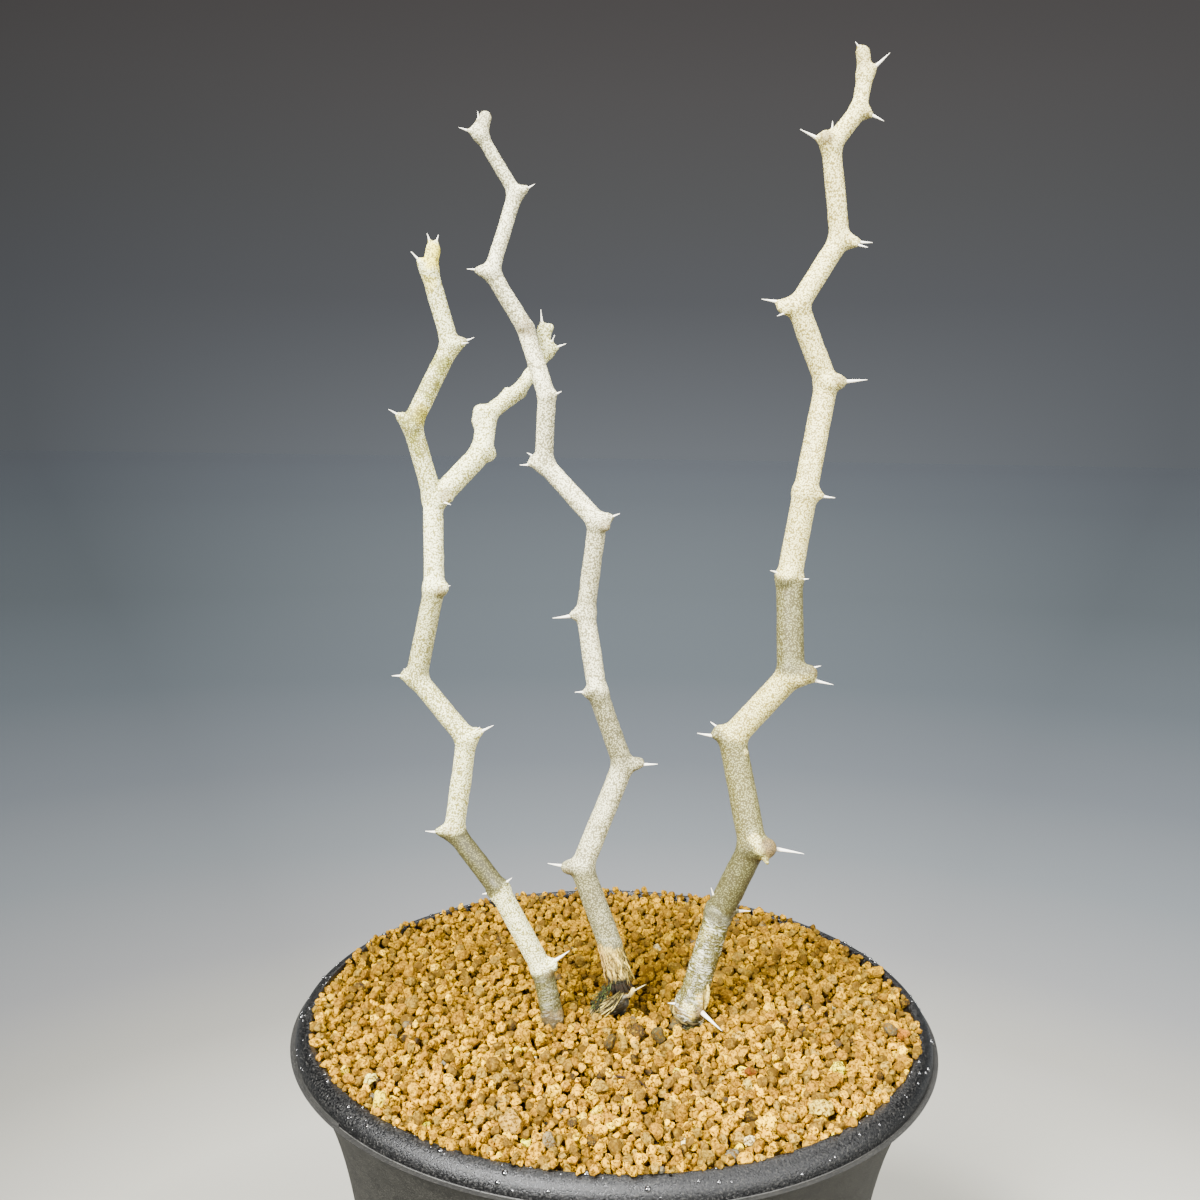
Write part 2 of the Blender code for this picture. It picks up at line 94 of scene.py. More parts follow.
# The thin lip under the rim: steps in from the rim's outer side, rises, and shares of rim and painted
# highlight
LIP_SECTION = (
    (0.6, -0.3, 0.4, 0.5),
    (0.2, -0.28, 0.5, 1.0),
    (0.02, -0.08, 0.7, 1.0),
    (0.12, 0.14, 0.8, 0.4),
)

# Soil, in millimetres
SOIL_EDGE_LEVEL = 128.9
SOIL_DOME = 0.8
SOIL_ROLLING = 0.35
SOIL_ROLL_LENGTH = 5.0
BED_DROP = 1.8
BED_RADIUS = 55.8
BED_CLEARANCE = 0.45
BED_RINGS = 60
BED_SIDES = 120
BED_SIDE_RINGS = 14
BED_SHOULDER = 2.0
BED_FLOOR_GAP = 0.3
BED_LUMP_SIZE = 1.6
BED_LUMP_DEPTH = 0.35
GRAIN_COUNT = 10600
GRAIN_MEAN_RADIUS = 0.63
GRAIN_SPREAD = 0.27
GRAIN_SMALLEST = 0.32
GRAIN_LARGEST = 1.25
GRAIN_TRIES = 4
GRAIN_CLOSENESS = 0.86
GRAIN_REACH_RADIUS = 56.5
SPILLED_COUNT = 520
SPILL_FRONT = 0.9
SPILL_SPREAD = 0.7
SPILL_WIDTH = 1.3
SPILL_LARGEST = 1.1
SPILL_HEIGHT = 1.7
SPILL_GRAIN_SPREAD = 0.25
SPILL_LIFT = 0.75
COARSE_GRAIN_RADIUS = 1.08
SMALL_GRAIN_RADIUS = 0.44
COVERED_MARGIN = 0.6
GRAIN_CREASE = 32.0
GRAIN_LIFT = 0.3
ROOTLET_LIFT = 0.75
# The shape of one granule, as shares of its radius, and how many shapes there are of each kind
GRAIN_FACETS = 9
FACET_PLACES = (0.52, 0.9)
FACET_FLATNESS = 0.95
GRAIN_LUMP_FINENESS = 2.3
GRAIN_LUMP_HEIGHT = 0.2
GRAIN_STRETCHES = (0.76, 1.22)
GRAIN_SHAPES = 16
# Pieces of granules: how fine each granule's mesh is, and the most granules in one piece
GRAIN_PIECES = {"small": (1, 4000), "fine": (2, 2000), "coarse": (3, 500)}

# Bark: fineness of the mesh and how softly its parts run together, in millimetres
BARK_VOXEL = 0.35
SKIN_ROUNDS = 4
BONE_TAPER = 0.97
BONE_BLEND = 0.5
KNUCKLE_BLEND = 1.1
FLARE_BLEND = 1.0
LUMP_BLEND = 1.0
BURIED_LEVEL = 112.0
CAPSULE_MARGIN = 0.1
# Dents, pits and cross wrinkles of the bark
DENT_SIZE = 3.0
DENT_DEPTH = 0.05
PIT_SIZE = 0.7
PIT_DEPTH = 0.025
WRINKLE_DEPTH = 0.02
GLOSSY_WRINKLE_DEPTH = 0.05
# Knuckles at the joints and swollen roots of the spines, as shares of the thickness or the reach
KNUCKLE_REACH = 0.7
KNUCKLE_TAPER = 0.5
FLARE_FOOT = 1.7
FLARE_END = 0.7
FLARE_START = 0.4
FLARE_MOST = 0.62
# A stain's ragged edge: the raggedness's size in millimetres, then its depth and the edge's width as shares
# of the stain's radius
STAIN_RAGGEDNESS = 0.9
STAIN_RAGGED_DEPTH = 0.35
STAIN_EDGE = 0.6
STAIN_KINDS = ("wax", "olive", "gold", "tan", "straw", "dark")
# The bark is glossy below this height, with painted glints
GLOSS_TOP = 152.0
GLOSS_FADE = 4.0

# Spines: their thickness in millimetres, which grows with their length, and how fine the mesh is
SPINE_STOUTNESS = 0.055
SPINE_THINNEST = 0.14
SPINE_STOUTEST = 0.54
SPINE_TIP = 0.03
SPINE_LEVELS = 12
SPINE_SIDES = 10
SPINE_SINK = 0.35
SPINE_BEND_LEAST = -0.12
SPINE_BEND_STEP = 0.1
# The partner that stands hidden behind a single spine, as shares of that spine's reach
HIDDEN_SPINE_SIDEWAYS = -0.1
HIDDEN_SPINE_BACK = 0.8
HIDDEN_SPINE_RISE = 0.1

# The straw-coloured collar of dead skin round the middle stem, and the darker foot under it
COLLAR_TOP = 142.8
COLLAR_BOTTOM = 136.4
COLLAR_TOP_CENTRE = (-1.0, -3.8)
COLLAR_BOTTOM_CENTRE = (0.6, -3.3)
COLLAR_RADIUS = 2.35
COLLAR_STRIPS = 84
STRIP_THICKNESS = (0.4, 0.9, 1.0, 1.0, 0.9, 0.7, 0.3)
FIBRE_RADII = (0.18, 0.18, 0.16, 0.13, 0.08)
STUB_RADII = (0.06, 0.15, 0.06)
MOSS_RADII = (0.04, 0.09, 0.03)
DRY_SPINE_RADII = (0.26, 0.15, 0.09, 0.03)
# Shades that the strands take by chance
STRIP_SHADES = (0.08, 0.3, 0.9, 1.1)
STUB_SHADES = (0.1, 0.5, 1.2, 2.0)
MOSS_SHADES = (0.2, 1.0, 4.0)
DARK_FIBRES = 24
STUB_FIBRES = 34
MOSS_STRANDS = 110
MOSS_START = (-0.6, -5.6, 135.6)
MOSS_END = (-4.3, -8.9, 131.6)
DRY_SPINE_ROOT = (3.3, -6.7, 134.5)
DRY_SPINE_REACH = (2.6, -1.0, 2.0)
STRAND_SIDES = 6

# Colours as linear red, green and blue; pairs are the ends between which a surface varies
CLOUD_TINT = (0.86, 0.85, 0.82)
OLIVE_TINT = (0.42, 0.44, 0.10)
GOLD_TINT = (0.95, 0.84, 0.22)
STRAW_TONES = ((0.10, 0.050, 0.008), (0.76, 0.56, 0.10))
TAN_TONES = ((0.040, 0.025, 0.007), (0.19, 0.124, 0.036))
ROT_AND_SHADE_TONE = (0.008, 0.007, 0.003)
GLINT_TONE = (0.75, 0.75, 0.55)
SPINE_TONES = ((0.72, 0.50, 0.30), (0.93, 0.90, 0.76))
SPINE_STREAK = (0.70, 0.58, 0.42)
STRAW_BRIGHT = (0.80, 0.60, 0.13)
STRAW_DULL = (0.42, 0.26, 0.06)
DARK_FIBRE_COLOUR = (0.012, 0.009, 0.004)
STUB_COLOUR = (0.20, 0.155, 0.035)
MOSS_COLOUR = (0.014, 0.020, 0.004)
DRY_SPINE_COLOUR = (0.62, 0.52, 0.28)
PEEL_COLOUR = (0.72, 0.53, 0.11)
STRAND_STREAK = (0.020, 0.010, 0.004)
CLAY_PORE_AND_SHADE = (0.075, 0.036, 0.003)
CLAY_GOLD = (0.36, 0.21, 0.006)
CLAY_HIGHLIGHT = (0.52, 0.30, 0.002)
BED_DAMP_AND_SHADE_TONES = ((0.005, 0.0022, 0.0006), (0.022, 0.009, 0.0014))
WALL_TONES = ((0.0055, 0.0052, 0.0042), (0.013, 0.0124, 0.0100))
WALL_SPECKLE = (0.040, 0.038, 0.030)
RIM_TONES = ((0.001, 0.001, 0.001), (0.030, 0.0285, 0.0245))
LIP_HIGHLIGHT_TONES = ((0.024, 0.0234, 0.021), (0.052, 0.050, 0.044))
DROPLET_TONES = ((0.002, 0.002, 0.002), (0.006, 0.006, 0.006))
# How strongly the plastic and the drops shine
WALL_SPECULAR = 0.14
RIM_SPECULAR = 0.38
DROPLET_IOR = 1.7
# Size of the bark's flecks in millimetres, and how much paler they are on wax
FLECK_SIZE = 0.29
PALE_FLECK_GAIN = 1.1

# Odd numbers that stir up the noise
HASH_AXES = (374761393, 668265263, 1440662683)
HASH_SEED = 1274126177
HASH_STIR = 1103515245
# Starts of the random draws
GRAIN_SEED = 11
DROPLET_SEED = 17
COLLAR_SEED = 5

Joint = namedtuple("Joint", "x y z width knuckle wax olive spines")
Bone = namedtuple("Bone", "start end start_radius end_radius blend")
Stem = namedtuple("Stem", "name slot node seed gloss dull bright fleck limbs lumps stains")


def joint_rows(*rows):
    """A limb's joints, from rows of numbers that end in the reaches of the joint's spines."""
    count = len(Joint._fields) - 1
    return [Joint(*row[:count], row[count:]) for row in rows]


# Each joint's place, the internode's thickness above it, how far its knuckle stands out, how white and how
# green the internode above it is, and each spine's reach from the joint's middle
LEFT_STEM = joint_rows(
    (-11.5, -9.0, 130.5, 4.1, 0.0, 0.1, 0.2),
    (-13.5, -8.5, 139.5, 3.9, 0.8, 1.25, 0.05, (5.0, -2.0, 4.5)),
    (-21.5, -10.5, 155.5, 3.7, 0.3, 0.0, 0.35, (2.5, -2.0, 3.0), (-3.0, -1.0, -0.5)),
    (-30.0, -8.0, 165.5, 3.7, 1.2, 1.25, 0.15, (-5.1, -1.5, 0.5)),
    (-27.5, -10.0, 183.5, 3.7, 1.5, 0.9, 0.1, (5.0, -2.0, 3.0), (2.6, -2.0, 2.6)),
    (-37.0, -7.0, 194.0, 3.8, 0.8, 0.82, 0.1, (-4.2, -1.5, 0.5), (-2.5, 1.5, 1.3)),
    (-33.5, -8.5, 210.5, 3.6, 0.5, 1.5, 0.0, (3.0, -1.0, 0.7)),
    (-34.0, -6.5, 226.5, 3.4, 0.2, 1.0, 0.2, (3.5, -2.5, -1.0)),
    (-37.5, -8.0, 239.5, 3.4, 1.1, 1.2, 0.3, (-3.8, -1.5, 2.5)),
    (-31.0, -5.5, 253.5, 3.1, 1.3, 1.4, 0.15, (4.1, 1.0, 1.5), (3.4, -2.0, 0.3)),
    (-34.5, -7.0, 266.0, 2.6, 0.9, 1.3, 0.1, (-3.0, -1.0, 3.1)),
    (-34.0, -6.0, 269.5, 2.5, 0.0, 1.3, 0.1, (-0.9, -0.7, 2.9), (0.9, 0.5, 2.9)),
)
SIDE_BRANCH = joint_rows(
    (-33.5, -6.5, 226.0, 4.0, 0.0, 1.35, 0.15),
    (-25.5, -2.5, 235.0, 3.8, 0.2, 1.5, 0.0),
    (-25.0, -1.0, 241.5, 3.0, 0.6, 1.3, 0.1),
    (-19.5, 2.5, 246.0, 2.5, 0.0, 1.2, 0.1),
    (-17.5, 4.5, 249.0, 2.4, 0.0, 1.1, 0.2),
    (-14.5, 6.5, 253.5, 2.3, 0.7, 1.2, 0.1, (3.6, -1.0, 1.5), (1.5, -1.5, 3.0)),
    (-15.3, 7.0, 257.3, 1.9, 0.0, 1.2, 0.1, (-0.4, -0.5, 4.0)),
)
MIDDLE_STEM = joint_rows(
    (1.1, -3.0, 131.0, 2.7, 0.0, 0.0, 0.3),
    (0.6, -3.3, 136.4, 4.3, 0.0, 0.3, 0.2),
    (-0.9, -3.8, 142.5, 4.5, 0.0, 0.56, 0.35),
    (-6.5, -5.0, 158.0, 4.2, 1.0, 0.82, 0.1, (-6.3, -1.5, 1.2)),
    (1.0, -2.0, 177.0, 3.8, 1.0, 0.5, 0.1, (6.4, -1.5, 0.6)),
    (-4.0, -4.0, 191.0, 3.6, 0.4, 0.88, 0.0, (-4.2, -1.5, 0.4)),
    (-6.5, -1.5, 205.5, 3.4, 0.6, 0.82, 0.0, (-6.0, -1.5, -0.8)),
    (-4.5, -4.0, 222.5, 3.4, 1.1, 1.1, 0.0, (4.0, -1.0, 1.7)),
    (-14.5, -1.5, 233.0, 3.3, 1.0, 0.92, 0.0, (-3.1, 1.0, 1.8), (-4.3, -1.0, -0.4)),
    (-14.0, -3.0, 245.0, 3.2, 0.0, 1.1, 0.0, (2.7, -1.0, 0.8)),
    (-18.0, -1.5, 257.0, 3.0, 0.0, 1.05, 0.0),
    (-24.0, -3.5, 266.5, 2.6, 1.2, 1.1, 0.0, (-4.2, -1.0, 0.3)),
    (-20.0, -1.0, 280.5, 2.3, 1.0, 1.1, 0.0, (3.5, -1.0, 1.5)),
    (-26.0, -3.0, 290.0, 2.3, 0.8, 0.95, 0.0, (-3.7, -1.0, 0.9), (-0.5, -0.5, 3.8)),
    (-25.3, -2.5, 293.0, 2.0, 0.0, 0.95, 0.0),
)
RIGHT_STEM = joint_rows(
    (14.5, -6.5, 132.5, 5.15, 0.0, 0.2, 0.45, (-4.5, -1.5, 0.5), (5.2, -7.0, -2.1)),
    (19.5, -4.5, 149.5, 5.2, 0.4, 0.12, 0.45, (-1.8, -1.5, 5.3), (6.0, 0.5, 0.1)),
    (25.0, -7.5, 163.5, 5.2, 0.9, 0.38, 0.35, (9.2, -2.0, -0.7)),
    (21.0, -4.0, 183.0, 4.8, 1.2, 1.1, 0.3, (-6.6, -1.5, 1.1), (-4.0, 1.0, 2.7)),
    (31.0, -7.0, 195.5, 4.9, 1.8, 0.25, 0.25, (7.4, -2.0, -1.3), (5.6, 1.0, 1.6)),
    (30.5, -4.5, 213.0, 4.5, 0.5, 1.25, 0.1, (-3.7, -1.5, 1.4), (3.3, -1.5, 0.0)),
    (32.5, -6.5, 228.5, 4.2, 0.3, 1.1, 0.1, (5.2, -1.0, -0.8)),
    (36.0, -4.0, 248.0, 4.0, 0.8, 1.15, 0.05, (7.0, -1.5, 0.6)),
    (30.0, -6.5, 261.0, 3.65, 1.9, 1.15, 0.05, (-6.3, 0.5, 1.2), (-3.7, -1.0, -1.8)),
    (37.5, -3.5, 273.0, 3.4, 1.6, 1.2, 0.05, (5.6, -1.0, -0.6), (4.5, -2.5, -1.7)),
    (35.0, -5.5, 288.5, 3.15, 1.0, 1.1, 0.0, (-5.6, -1.0, 2.3), (0.0, -0.5, 3.9)),
    (40.0, -3.5, 295.0, 2.7, 0.3, 1.1, 0.0, (4.2, -1.0, -2.1)),
    (40.9, -3.0, 301.0, 2.4, 0.2, 1.1, 0.0, (3.9, -1.0, 3.4)),
    (40.4, -3.0, 304.6, 2.3, 0.0, 1.1, 0.0, (-1.6, -0.8, 1.6)),
)

# Buds, scars and stubs that stand out of the bark: both ends, and the thickness at each
LEFT_LUMPS = (
    ((-12.4, -9.4, 139.8), (-11.3, -9.8, 140.3), 1.0, 0.6),
    ((-30.9, -9.2, 166.3), (-30.9, -9.3, 166.3), 0.95, 0.95),
    ((-32.3, -9.6, 210.3), (-32.2, -9.7, 210.3), 0.9, 0.9),
    ((-31.3, -7.0, 226.8), (-31.0, -7.2, 226.6), 0.9, 0.7),
    ((-26.1, -1.6, 240.6), (-26.0, -1.7, 241.6), 1.5, 1.25),
    ((-21.5, 1.0, 245.6), (-21.5, 0.9, 246.0), 0.8, 0.5),
    ((-14.9, 6.9, 256.4), (-14.0, 6.5, 258.0), 0.7, 0.75),
)
MIDDLE_LUMPS = (
    ((-3.9, -7.4, 130.7), (-2.4, -7.5, 131.5), 0.7, 1.05),
    ((-1.6, -7.0, 131.3), (-0.4, -6.8, 132.3), 1.1, 0.85),
    ((0.3, -6.5, 132.0), (1.7, -6.3, 133.3), 0.95, 0.7),
    ((-0.4, -5.0, 130.6), (1.6, -4.6, 131.4), 1.5, 1.3),
    ((3.0, -6.5, 133.7), (3.5, -6.6, 134.9), 0.4, 0.5),
    ((-9.0, -6.2, 158.2), (-9.3, -6.4, 158.3), 1.0, 0.9),
    ((3.7, -2.9, 177.7), (4.0, -3.0, 177.8), 0.9, 0.8),
    ((-4.9, -5.2, 191.9), (-4.9, -5.4, 192.0), 1.0, 0.95),
    ((-3.3, -5.3, 221.9), (-3.0, -5.6, 221.8), 0.9, 0.8),
    ((-18.3, -2.8, 257.2), (-18.3, -3.0, 257.2), 0.7, 0.6),
)
RIGHT_LUMPS = (
    ((14.0, -6.7, 131.3), (14.3, -6.6, 132.6), 2.9, 2.75),
    ((25.6, -8.5, 163.8), (27.3, -9.3, 163.7), 2.3, 1.8),
    ((24.9, -9.5, 166.0), (26.0, -10.1, 163.8), 0.75, 0.75),
    ((26.0, -10.1, 163.8), (27.4, -10.2, 161.2), 0.7, 0.3),
    ((32.6, -7.9, 195.8), (34.0, -8.5, 196.2), 2.0, 1.5),
    ((29.6, -6.3, 212.6), (29.5, -6.5, 212.6), 1.0, 0.9),
    ((36.7, -5.3, 248.0), (37.6, -5.6, 248.1), 1.7, 1.3),
    ((34.2, -6.4, 289.2), (33.9, -6.7, 289.4), 1.2, 1.1),
)

# Patches of another colour on the bark, by kind: place, radius and strength
LEFT_STAINS = {
    "olive": (
        (-11.4, -10.2, 130.2, 2.7, 1.0), (-37.0, -9.8, 237.5, 1.5, 1.0), (-36.8, -9.6, 241.0, 2.0, 1.0),
        (-34.2, -8.4, 246.0, 1.8, 1.0), (-32.2, -7.2, 250.0, 1.6, 1.0), (-35.8, -8.8, 235.4, 1.3, 1.0),
    ),
    "gold": (
        (-35.6, -9.4, 241.4, 1.5, 0.8), (-33.2, -7.6, 268.6, 2.2, 1.0), (-34.6, -8.6, 263.6, 1.2, 0.6),
    ),
    "tan": (
        (-11.4, -10.6, 129.4, 2.4, 0.9), (-12.0, -10.5, 139.6, 0.7, 0.4), (-30.9, -10.0, 166.3, 0.8, 0.45),
        (-32.2, -10.3, 210.3, 0.8, 0.5), (-31.3, -8.2, 227.2, 1.0, 0.6), (-29.2, -6.0, 254.6, 0.9, 0.4),
        (-26.6, -3.4, 241.4, 0.6, 0.35),
    ),
    "straw": (
        (-10.6, -11.0, 130.4, 1.2, 0.3),
    ),
    "dark": (
        (-12.4, -11.0, 130.0, 1.7, 0.6),
    ),
}
MIDDLE_STAINS = {
    "olive": (
        (-1.5, -7.5, 131.4, 3.6, 1.0),
    ),
    "tan": (
        (-1.2, -7.2, 131.4, 3.2, 0.8), (-2.6, -8.6, 130.4, 1.0, 0.8), (2.6, -6.9, 133.7, 0.7, 0.7),
        (-9.4, -7.2, 157.8, 0.8, 0.4), (-3.0, -6.4, 221.8, 0.9, 0.5), (-17.9, -3.2, 257.1, 1.4, 0.6),
        (-25.4, -3.2, 292.6, 1.8, 0.25),
    ),
    "straw": (
        (-3.5, -8.5, 131.0, 1.3, 0.75), (-1.6, -8.3, 131.5, 1.5, 0.4), (3.2, -7.2, 134.6, 1.1, 0.8),
    ),
    "dark": (
        (-0.9, -8.0, 132.3, 0.8, 0.8), (0.9, -6.8, 131.2, 1.6, 1.0), (1.8, -6.8, 132.6, 0.9, 0.85),
    ),
}
RIGHT_STAINS = {
    "wax": (
        (13.4, -9.6, 132.6, 1.1, 1.0), (22.9, -5.6, 180.6, 0.8, 1.0), (12.9, -8.2, 137.5, 1.7, 0.3),
        (14.2, -8.0, 142.0, 1.8, 0.36), (15.6, -7.6, 146.5, 1.9, 0.45), (24.9, -10.4, 165.8, 1.0, 1.0),
        (25.9, -11.0, 163.9, 0.9, 1.0), (27.0, -10.8, 161.9, 1.0, 1.0), (36.8, -7.0, 247.4, 0.9, 1.0),
        (35.4, -7.0, 288.6, 1.0, 1.0),
    ),
    "olive": (
        # Down the lower stem's right side: partly green bark, partly painted shade away from the light
        (19.6, -5.0, 139.0, 2.7, 1.0), (20.8, -4.6, 144.0, 2.7, 1.0), (22.4, -4.6, 149.0, 2.8, 1.0),
        (25.2, -5.6, 155.5, 2.2, 0.8),
    ),
    "tan": (
        (11.6, -8.2, 131.6, 1.2, 0.95), (16.5, -8.6, 131.1, 1.1, 0.95), (15.8, -8.6, 131.8, 1.0, 0.9),
        (12.6, -9.0, 131.0, 1.0, 0.9), (27.9, -10.7, 164.1, 1.5, 0.9), (35.4, -9.2, 196.9, 1.0, 0.45),
        (32.0, -9.5, 192.9, 0.6, 0.9), (37.6, -6.9, 248.9, 1.0, 0.5), (33.8, -7.6, 289.2, 0.9, 0.6),
        (40.6, -4.2, 303.6, 1.9, 0.3),
    ),
    "straw": (
        (12.4, -9.3, 130.5, 0.9, 0.8), (14.2, -9.6, 130.9, 0.8, 0.7), (16.7, -8.0, 134.0, 1.3, 0.8),
        (14.4, -9.6, 131.0, 0.7, 0.8),
    ),
    "dark": (
        # The dark patches on this line are painted shadow under the right stem's bulbous foot
        (13.4, -9.4, 129.8, 1.0, 0.75), (15.4, -9.2, 129.9, 1.0, 0.85), (12.2, -9.4, 129.4, 1.3, 0.8),
        (28.6, -8.9, 191.2, 0.3, 0.9),
    ),
}

# Each stem's name, slot, node and random start, how glossy its foot is, its dull, bright and fleck colours,
# and its limbs, lumps and stains
STEMS = (
    Stem("left", "bark_left", "stem_left", 21, 0.25,
         (0.165, 0.156, 0.064), (0.98, 0.97, 0.56), (0.25, 0.225, 0.10),
         (LEFT_STEM, SIDE_BRANCH), LEFT_LUMPS, LEFT_STAINS),
    Stem("middle", "bark_middle", "stem_middle", 22, 0.25,
         (0.200, 0.185, 0.092), (0.94, 0.905, 0.60), (0.25, 0.235, 0.18),
         (MIDDLE_STEM,), MIDDLE_LUMPS, MIDDLE_STAINS),
    Stem("right", "bark_right", "stem_right", 23, 1.0,
         (0.188, 0.184, 0.085), (0.97, 0.88, 0.40), (0.27, 0.235, 0.12),
         (RIGHT_STEM,), RIGHT_LUMPS, RIGHT_STAINS),
)

# Dips in the soil: place, depth and radius
SOIL_DIPS = (
    (2.0, 0.0, 2.0, 6.0),
    (14.4, -8.2, 1.9, 3.9),
    (6.6, -3.4, 1.3, 2.2),
    (-12.0, 27.0, 1.4, 2.0),
)

# Granule colours as linear red, green and blue, with the share of each
GRAIN_COLOURS = (
    ((0.26, 0.132, 0.0035), 0.31),
    ((0.38, 0.196, 0.0020), 0.22),
    ((0.165, 0.078, 0.0040), 0.19),
    ((0.150, 0.094, 0.0140), 0.11),
    ((0.50, 0.290, 0.0020), 0.05),
    ((0.070, 0.039, 0.0060), 0.14),
    ((0.010, 0.008, 0.006), 0.012),
    ((0.050, 0.048, 0.034), 0.005),
    ((0.42, 0.34, 0.14), 0.002),
)
# How bright the granules are in front, at the back, and on a darker spot behind the middle stem
# In front and at the back this is painted light and shade
FRONT_LIGHT_GAIN = 1.78
FRONT_END = -35.0
BACK_SHADE_GAIN = 0.84
BACK_START = 15.0
DARK_SPOT = (6.0, 13.0)
DARK_SPOT_RADIUS = 17.0
DARK_SPOT_GAIN = 0.5
# How dark the granules are that lie this deep under the others, partly damp and partly painted shade
DEEP_SHADE_GAIN = 0.3
DEEP = 1.1
# How unlike each other granules of one kind are
GRAIN_CONTRAST = 0.22

# Single granules that stand out, given to the topmost granule within reach: place, radius and colour
SPECIAL_REACH = 1.3
SPECIAL_GRAINS = (
    (-40.1, -15.9, 0.9, (0.55, 0.48, 0.26)),
    (-41.1, -31.6, 1.15, (0.70, 0.60, 0.13)),
    (-38.0, -40.8, 1.25, (0.75, 0.56, 0.010)),
    (33.1, -39.4, 1.5, (0.50, 0.36, 0.05)),
    (22.1, -31.7, 1.0, (0.46, 0.33, 0.05)),
    (23.0, -28.1, 0.9, (0.14, 0.03, 0.006)),
    (53.3, -12.2, 1.1, (0.28, 0.09, 0.006)),
    (-8.6, -21.5, 1.0, (0.008, 0.006, 0.006)),
    (-16.8, -32.5, 1.0, (0.014, 0.012, 0.010)),
    (11.4, -11.2, 1.2, (0.036, 0.038, 0.024)),
    (-0.9, -19.8, 1.1, (0.026, 0.025, 0.015)),
    (7.9, -15.5, 1.2, (0.032, 0.032, 0.018)),
    (-16.7, -44.6, 1.6, (0.34, 0.20, 0.035)),
    (-10.3, -48.5, 1.1, (0.17, 0.14, 0.075)),
)

# Flakes of skin round the right stem's foot, as paths with a thickness and a shade
RIGHT_PEELS = (
    (((17.3, -7.6, 137.2), (17.5, -8.3, 135.6), (17.3, -8.8, 134.0), (16.9, -9.0, 132.4)), 0.42, 0.75),
    (((16.9, -7.6, 136.0), (17.0, -8.6, 134.6), (16.8, -9.1, 133.2)), 0.30, 0.3),
    (((10.9, -7.6, 131.6), (11.4, -8.8, 130.8), (12.5, -9.6, 130.1), (13.6, -9.9, 129.7)), 0.34, 0.13),
    (((11.2, -7.2, 132.4), (11.1, -8.2, 131.4), (11.8, -9.2, 130.6)), 0.28, 0.35),
    (((13.2, -9.8, 130.4), (14.6, -9.9, 129.8), (16.0, -9.4, 129.8)), 0.32, 0.05),
    (((10.8, -6.6, 133.0), (10.6, -7.0, 131.8), (10.9, -7.6, 130.6)), 0.26, 0.14),
)

# Loose rootlets on the granules, as paths in plan, with their thickness and colour
ROOTLETS = (
    (((-1.3, -30.1), (0.6, -29.8), (2.5, -30.4), (4.2, -31.6), (5.4, -33.5)), 0.2, (0.020, 0.009, 0.004)),
    (((36.4, -9.6), (38.0, -9.2), (39.4, -8.2)), 0.15, (0.023, 0.013, 0.006)),
    (((-20.4, -24.0), (-18.6, -24.8), (-17.2, -24.4)), 0.14, (0.065, 0.036, 0.013)),
)

# Floor, in millimetres, and its colours, a painted pool of light, at some distances from the pot, in metres
FLOOR_RADIUS = 40000.0
FLOOR_SIDES = 96
FLOOR_STOPS = (
    (0.2, (0.245, 0.238, 0.205)),
    (0.285, (0.128, 0.125, 0.111)),
    (0.36, (0.084, 0.085, 0.085)),
    (0.49, (0.055, 0.060, 0.063)),
    (0.68, (0.037, 0.041, 0.045)),
    (1.03, (0.025, 0.029, 0.032)),
    (1.8, (0.019, 0.022, 0.024)),
    (5.6, (0.0155, 0.0175, 0.0195)),
    (20.0, (0.014, 0.0155, 0.0175)),
)
# Colours of the surround at some heights above the horizon, as the upward part of the direction
SKY_STOPS = (
    (0.0, (0.113, 0.123, 0.135)),
    (0.12, (0.095, 0.099, 0.107)),
    (0.2, (0.086, 0.087, 0.089)),
    (0.27, (0.080, 0.077, 0.077)),
    (0.34, (0.069, 0.064, 0.063)),
)
# On the floor this slant and the band below are painted light
# How much brighter the surround is towards the viewer's right than straight ahead
SURROUND_SLANT = 0.25
# A brighter band in the surround straight behind the plant and before it: how far it reaches to each side,
# its strength near the pot, far away at floor level, and higher up, and where each of these ends or begins
GLOW_REACH = 0.43
GLOW_NEAR = 0.17
GLOW_NEAR_END = 0.5
GLOW_FAR = 0.58
GLOW_FAR_START = 2.0
GLOW_HIGH = 0.22
GLOW_HIGH_START = 0.12

# Lamps: bearing from the viewer's side, height and apparent width in degrees, then strength
LAMPS = (
    ("key", -36.0, 38.0, 22.0, 24.0),
    ("fill", 42.0, 28.0, 50.0, 8.3),
    ("top", 160.0, 74.0, 45.0, 6.0),
)


def vector_array(item):
    """A joint's place as a numpy row."""
    return np.array((item.x, item.y, item.z), float)


def value_noise(points, seed):
    """Smooth noise from -1 to 1, one cell to a unit, the same on every run."""
    cell = np.floor(points).astype(np.int64)
    inside = points - cell
    ease = inside * inside * (3.0 - 2.0 * inside)
    total = np.zeros(len(points))
    for corner in range(8):
        step = np.array((corner & 1, corner >> 1 & 1, corner >> 2 & 1))
        key = (cell + step) @ np.array(HASH_AXES) + seed * HASH_SEED
        key = (key ^ (key >> 13)) * HASH_STIR
        key = key ^ (key >> 16)
        value = (key & 0xFFFF) / 32767.5 - 1.0
        total += value * np.prod(np.where(step, ease, 1.0 - ease), axis=1)
    return total


def layered_noise(points, seed, layers=3):
    """Several sizes of noise on top of each other."""
    total = np.zeros(len(points))
    for layer in range(layers):
        total += value_noise(points * 2.0 ** layer, seed + layer) * 0.5 ** layer
    return total


def unit(vector):
    """The vector at length one."""
    return vector / max(np.linalg.norm(vector), 1e-9)


def round_point(radius, angle, height):
    """A point at this angle round the pot's axis."""
    return radius * math.cos(angle), radius * math.sin(angle), height


def round_angles(count):
    """Evenly spread angles round a circle."""
    return [2.0 * math.pi * side / count for side in range(count)]


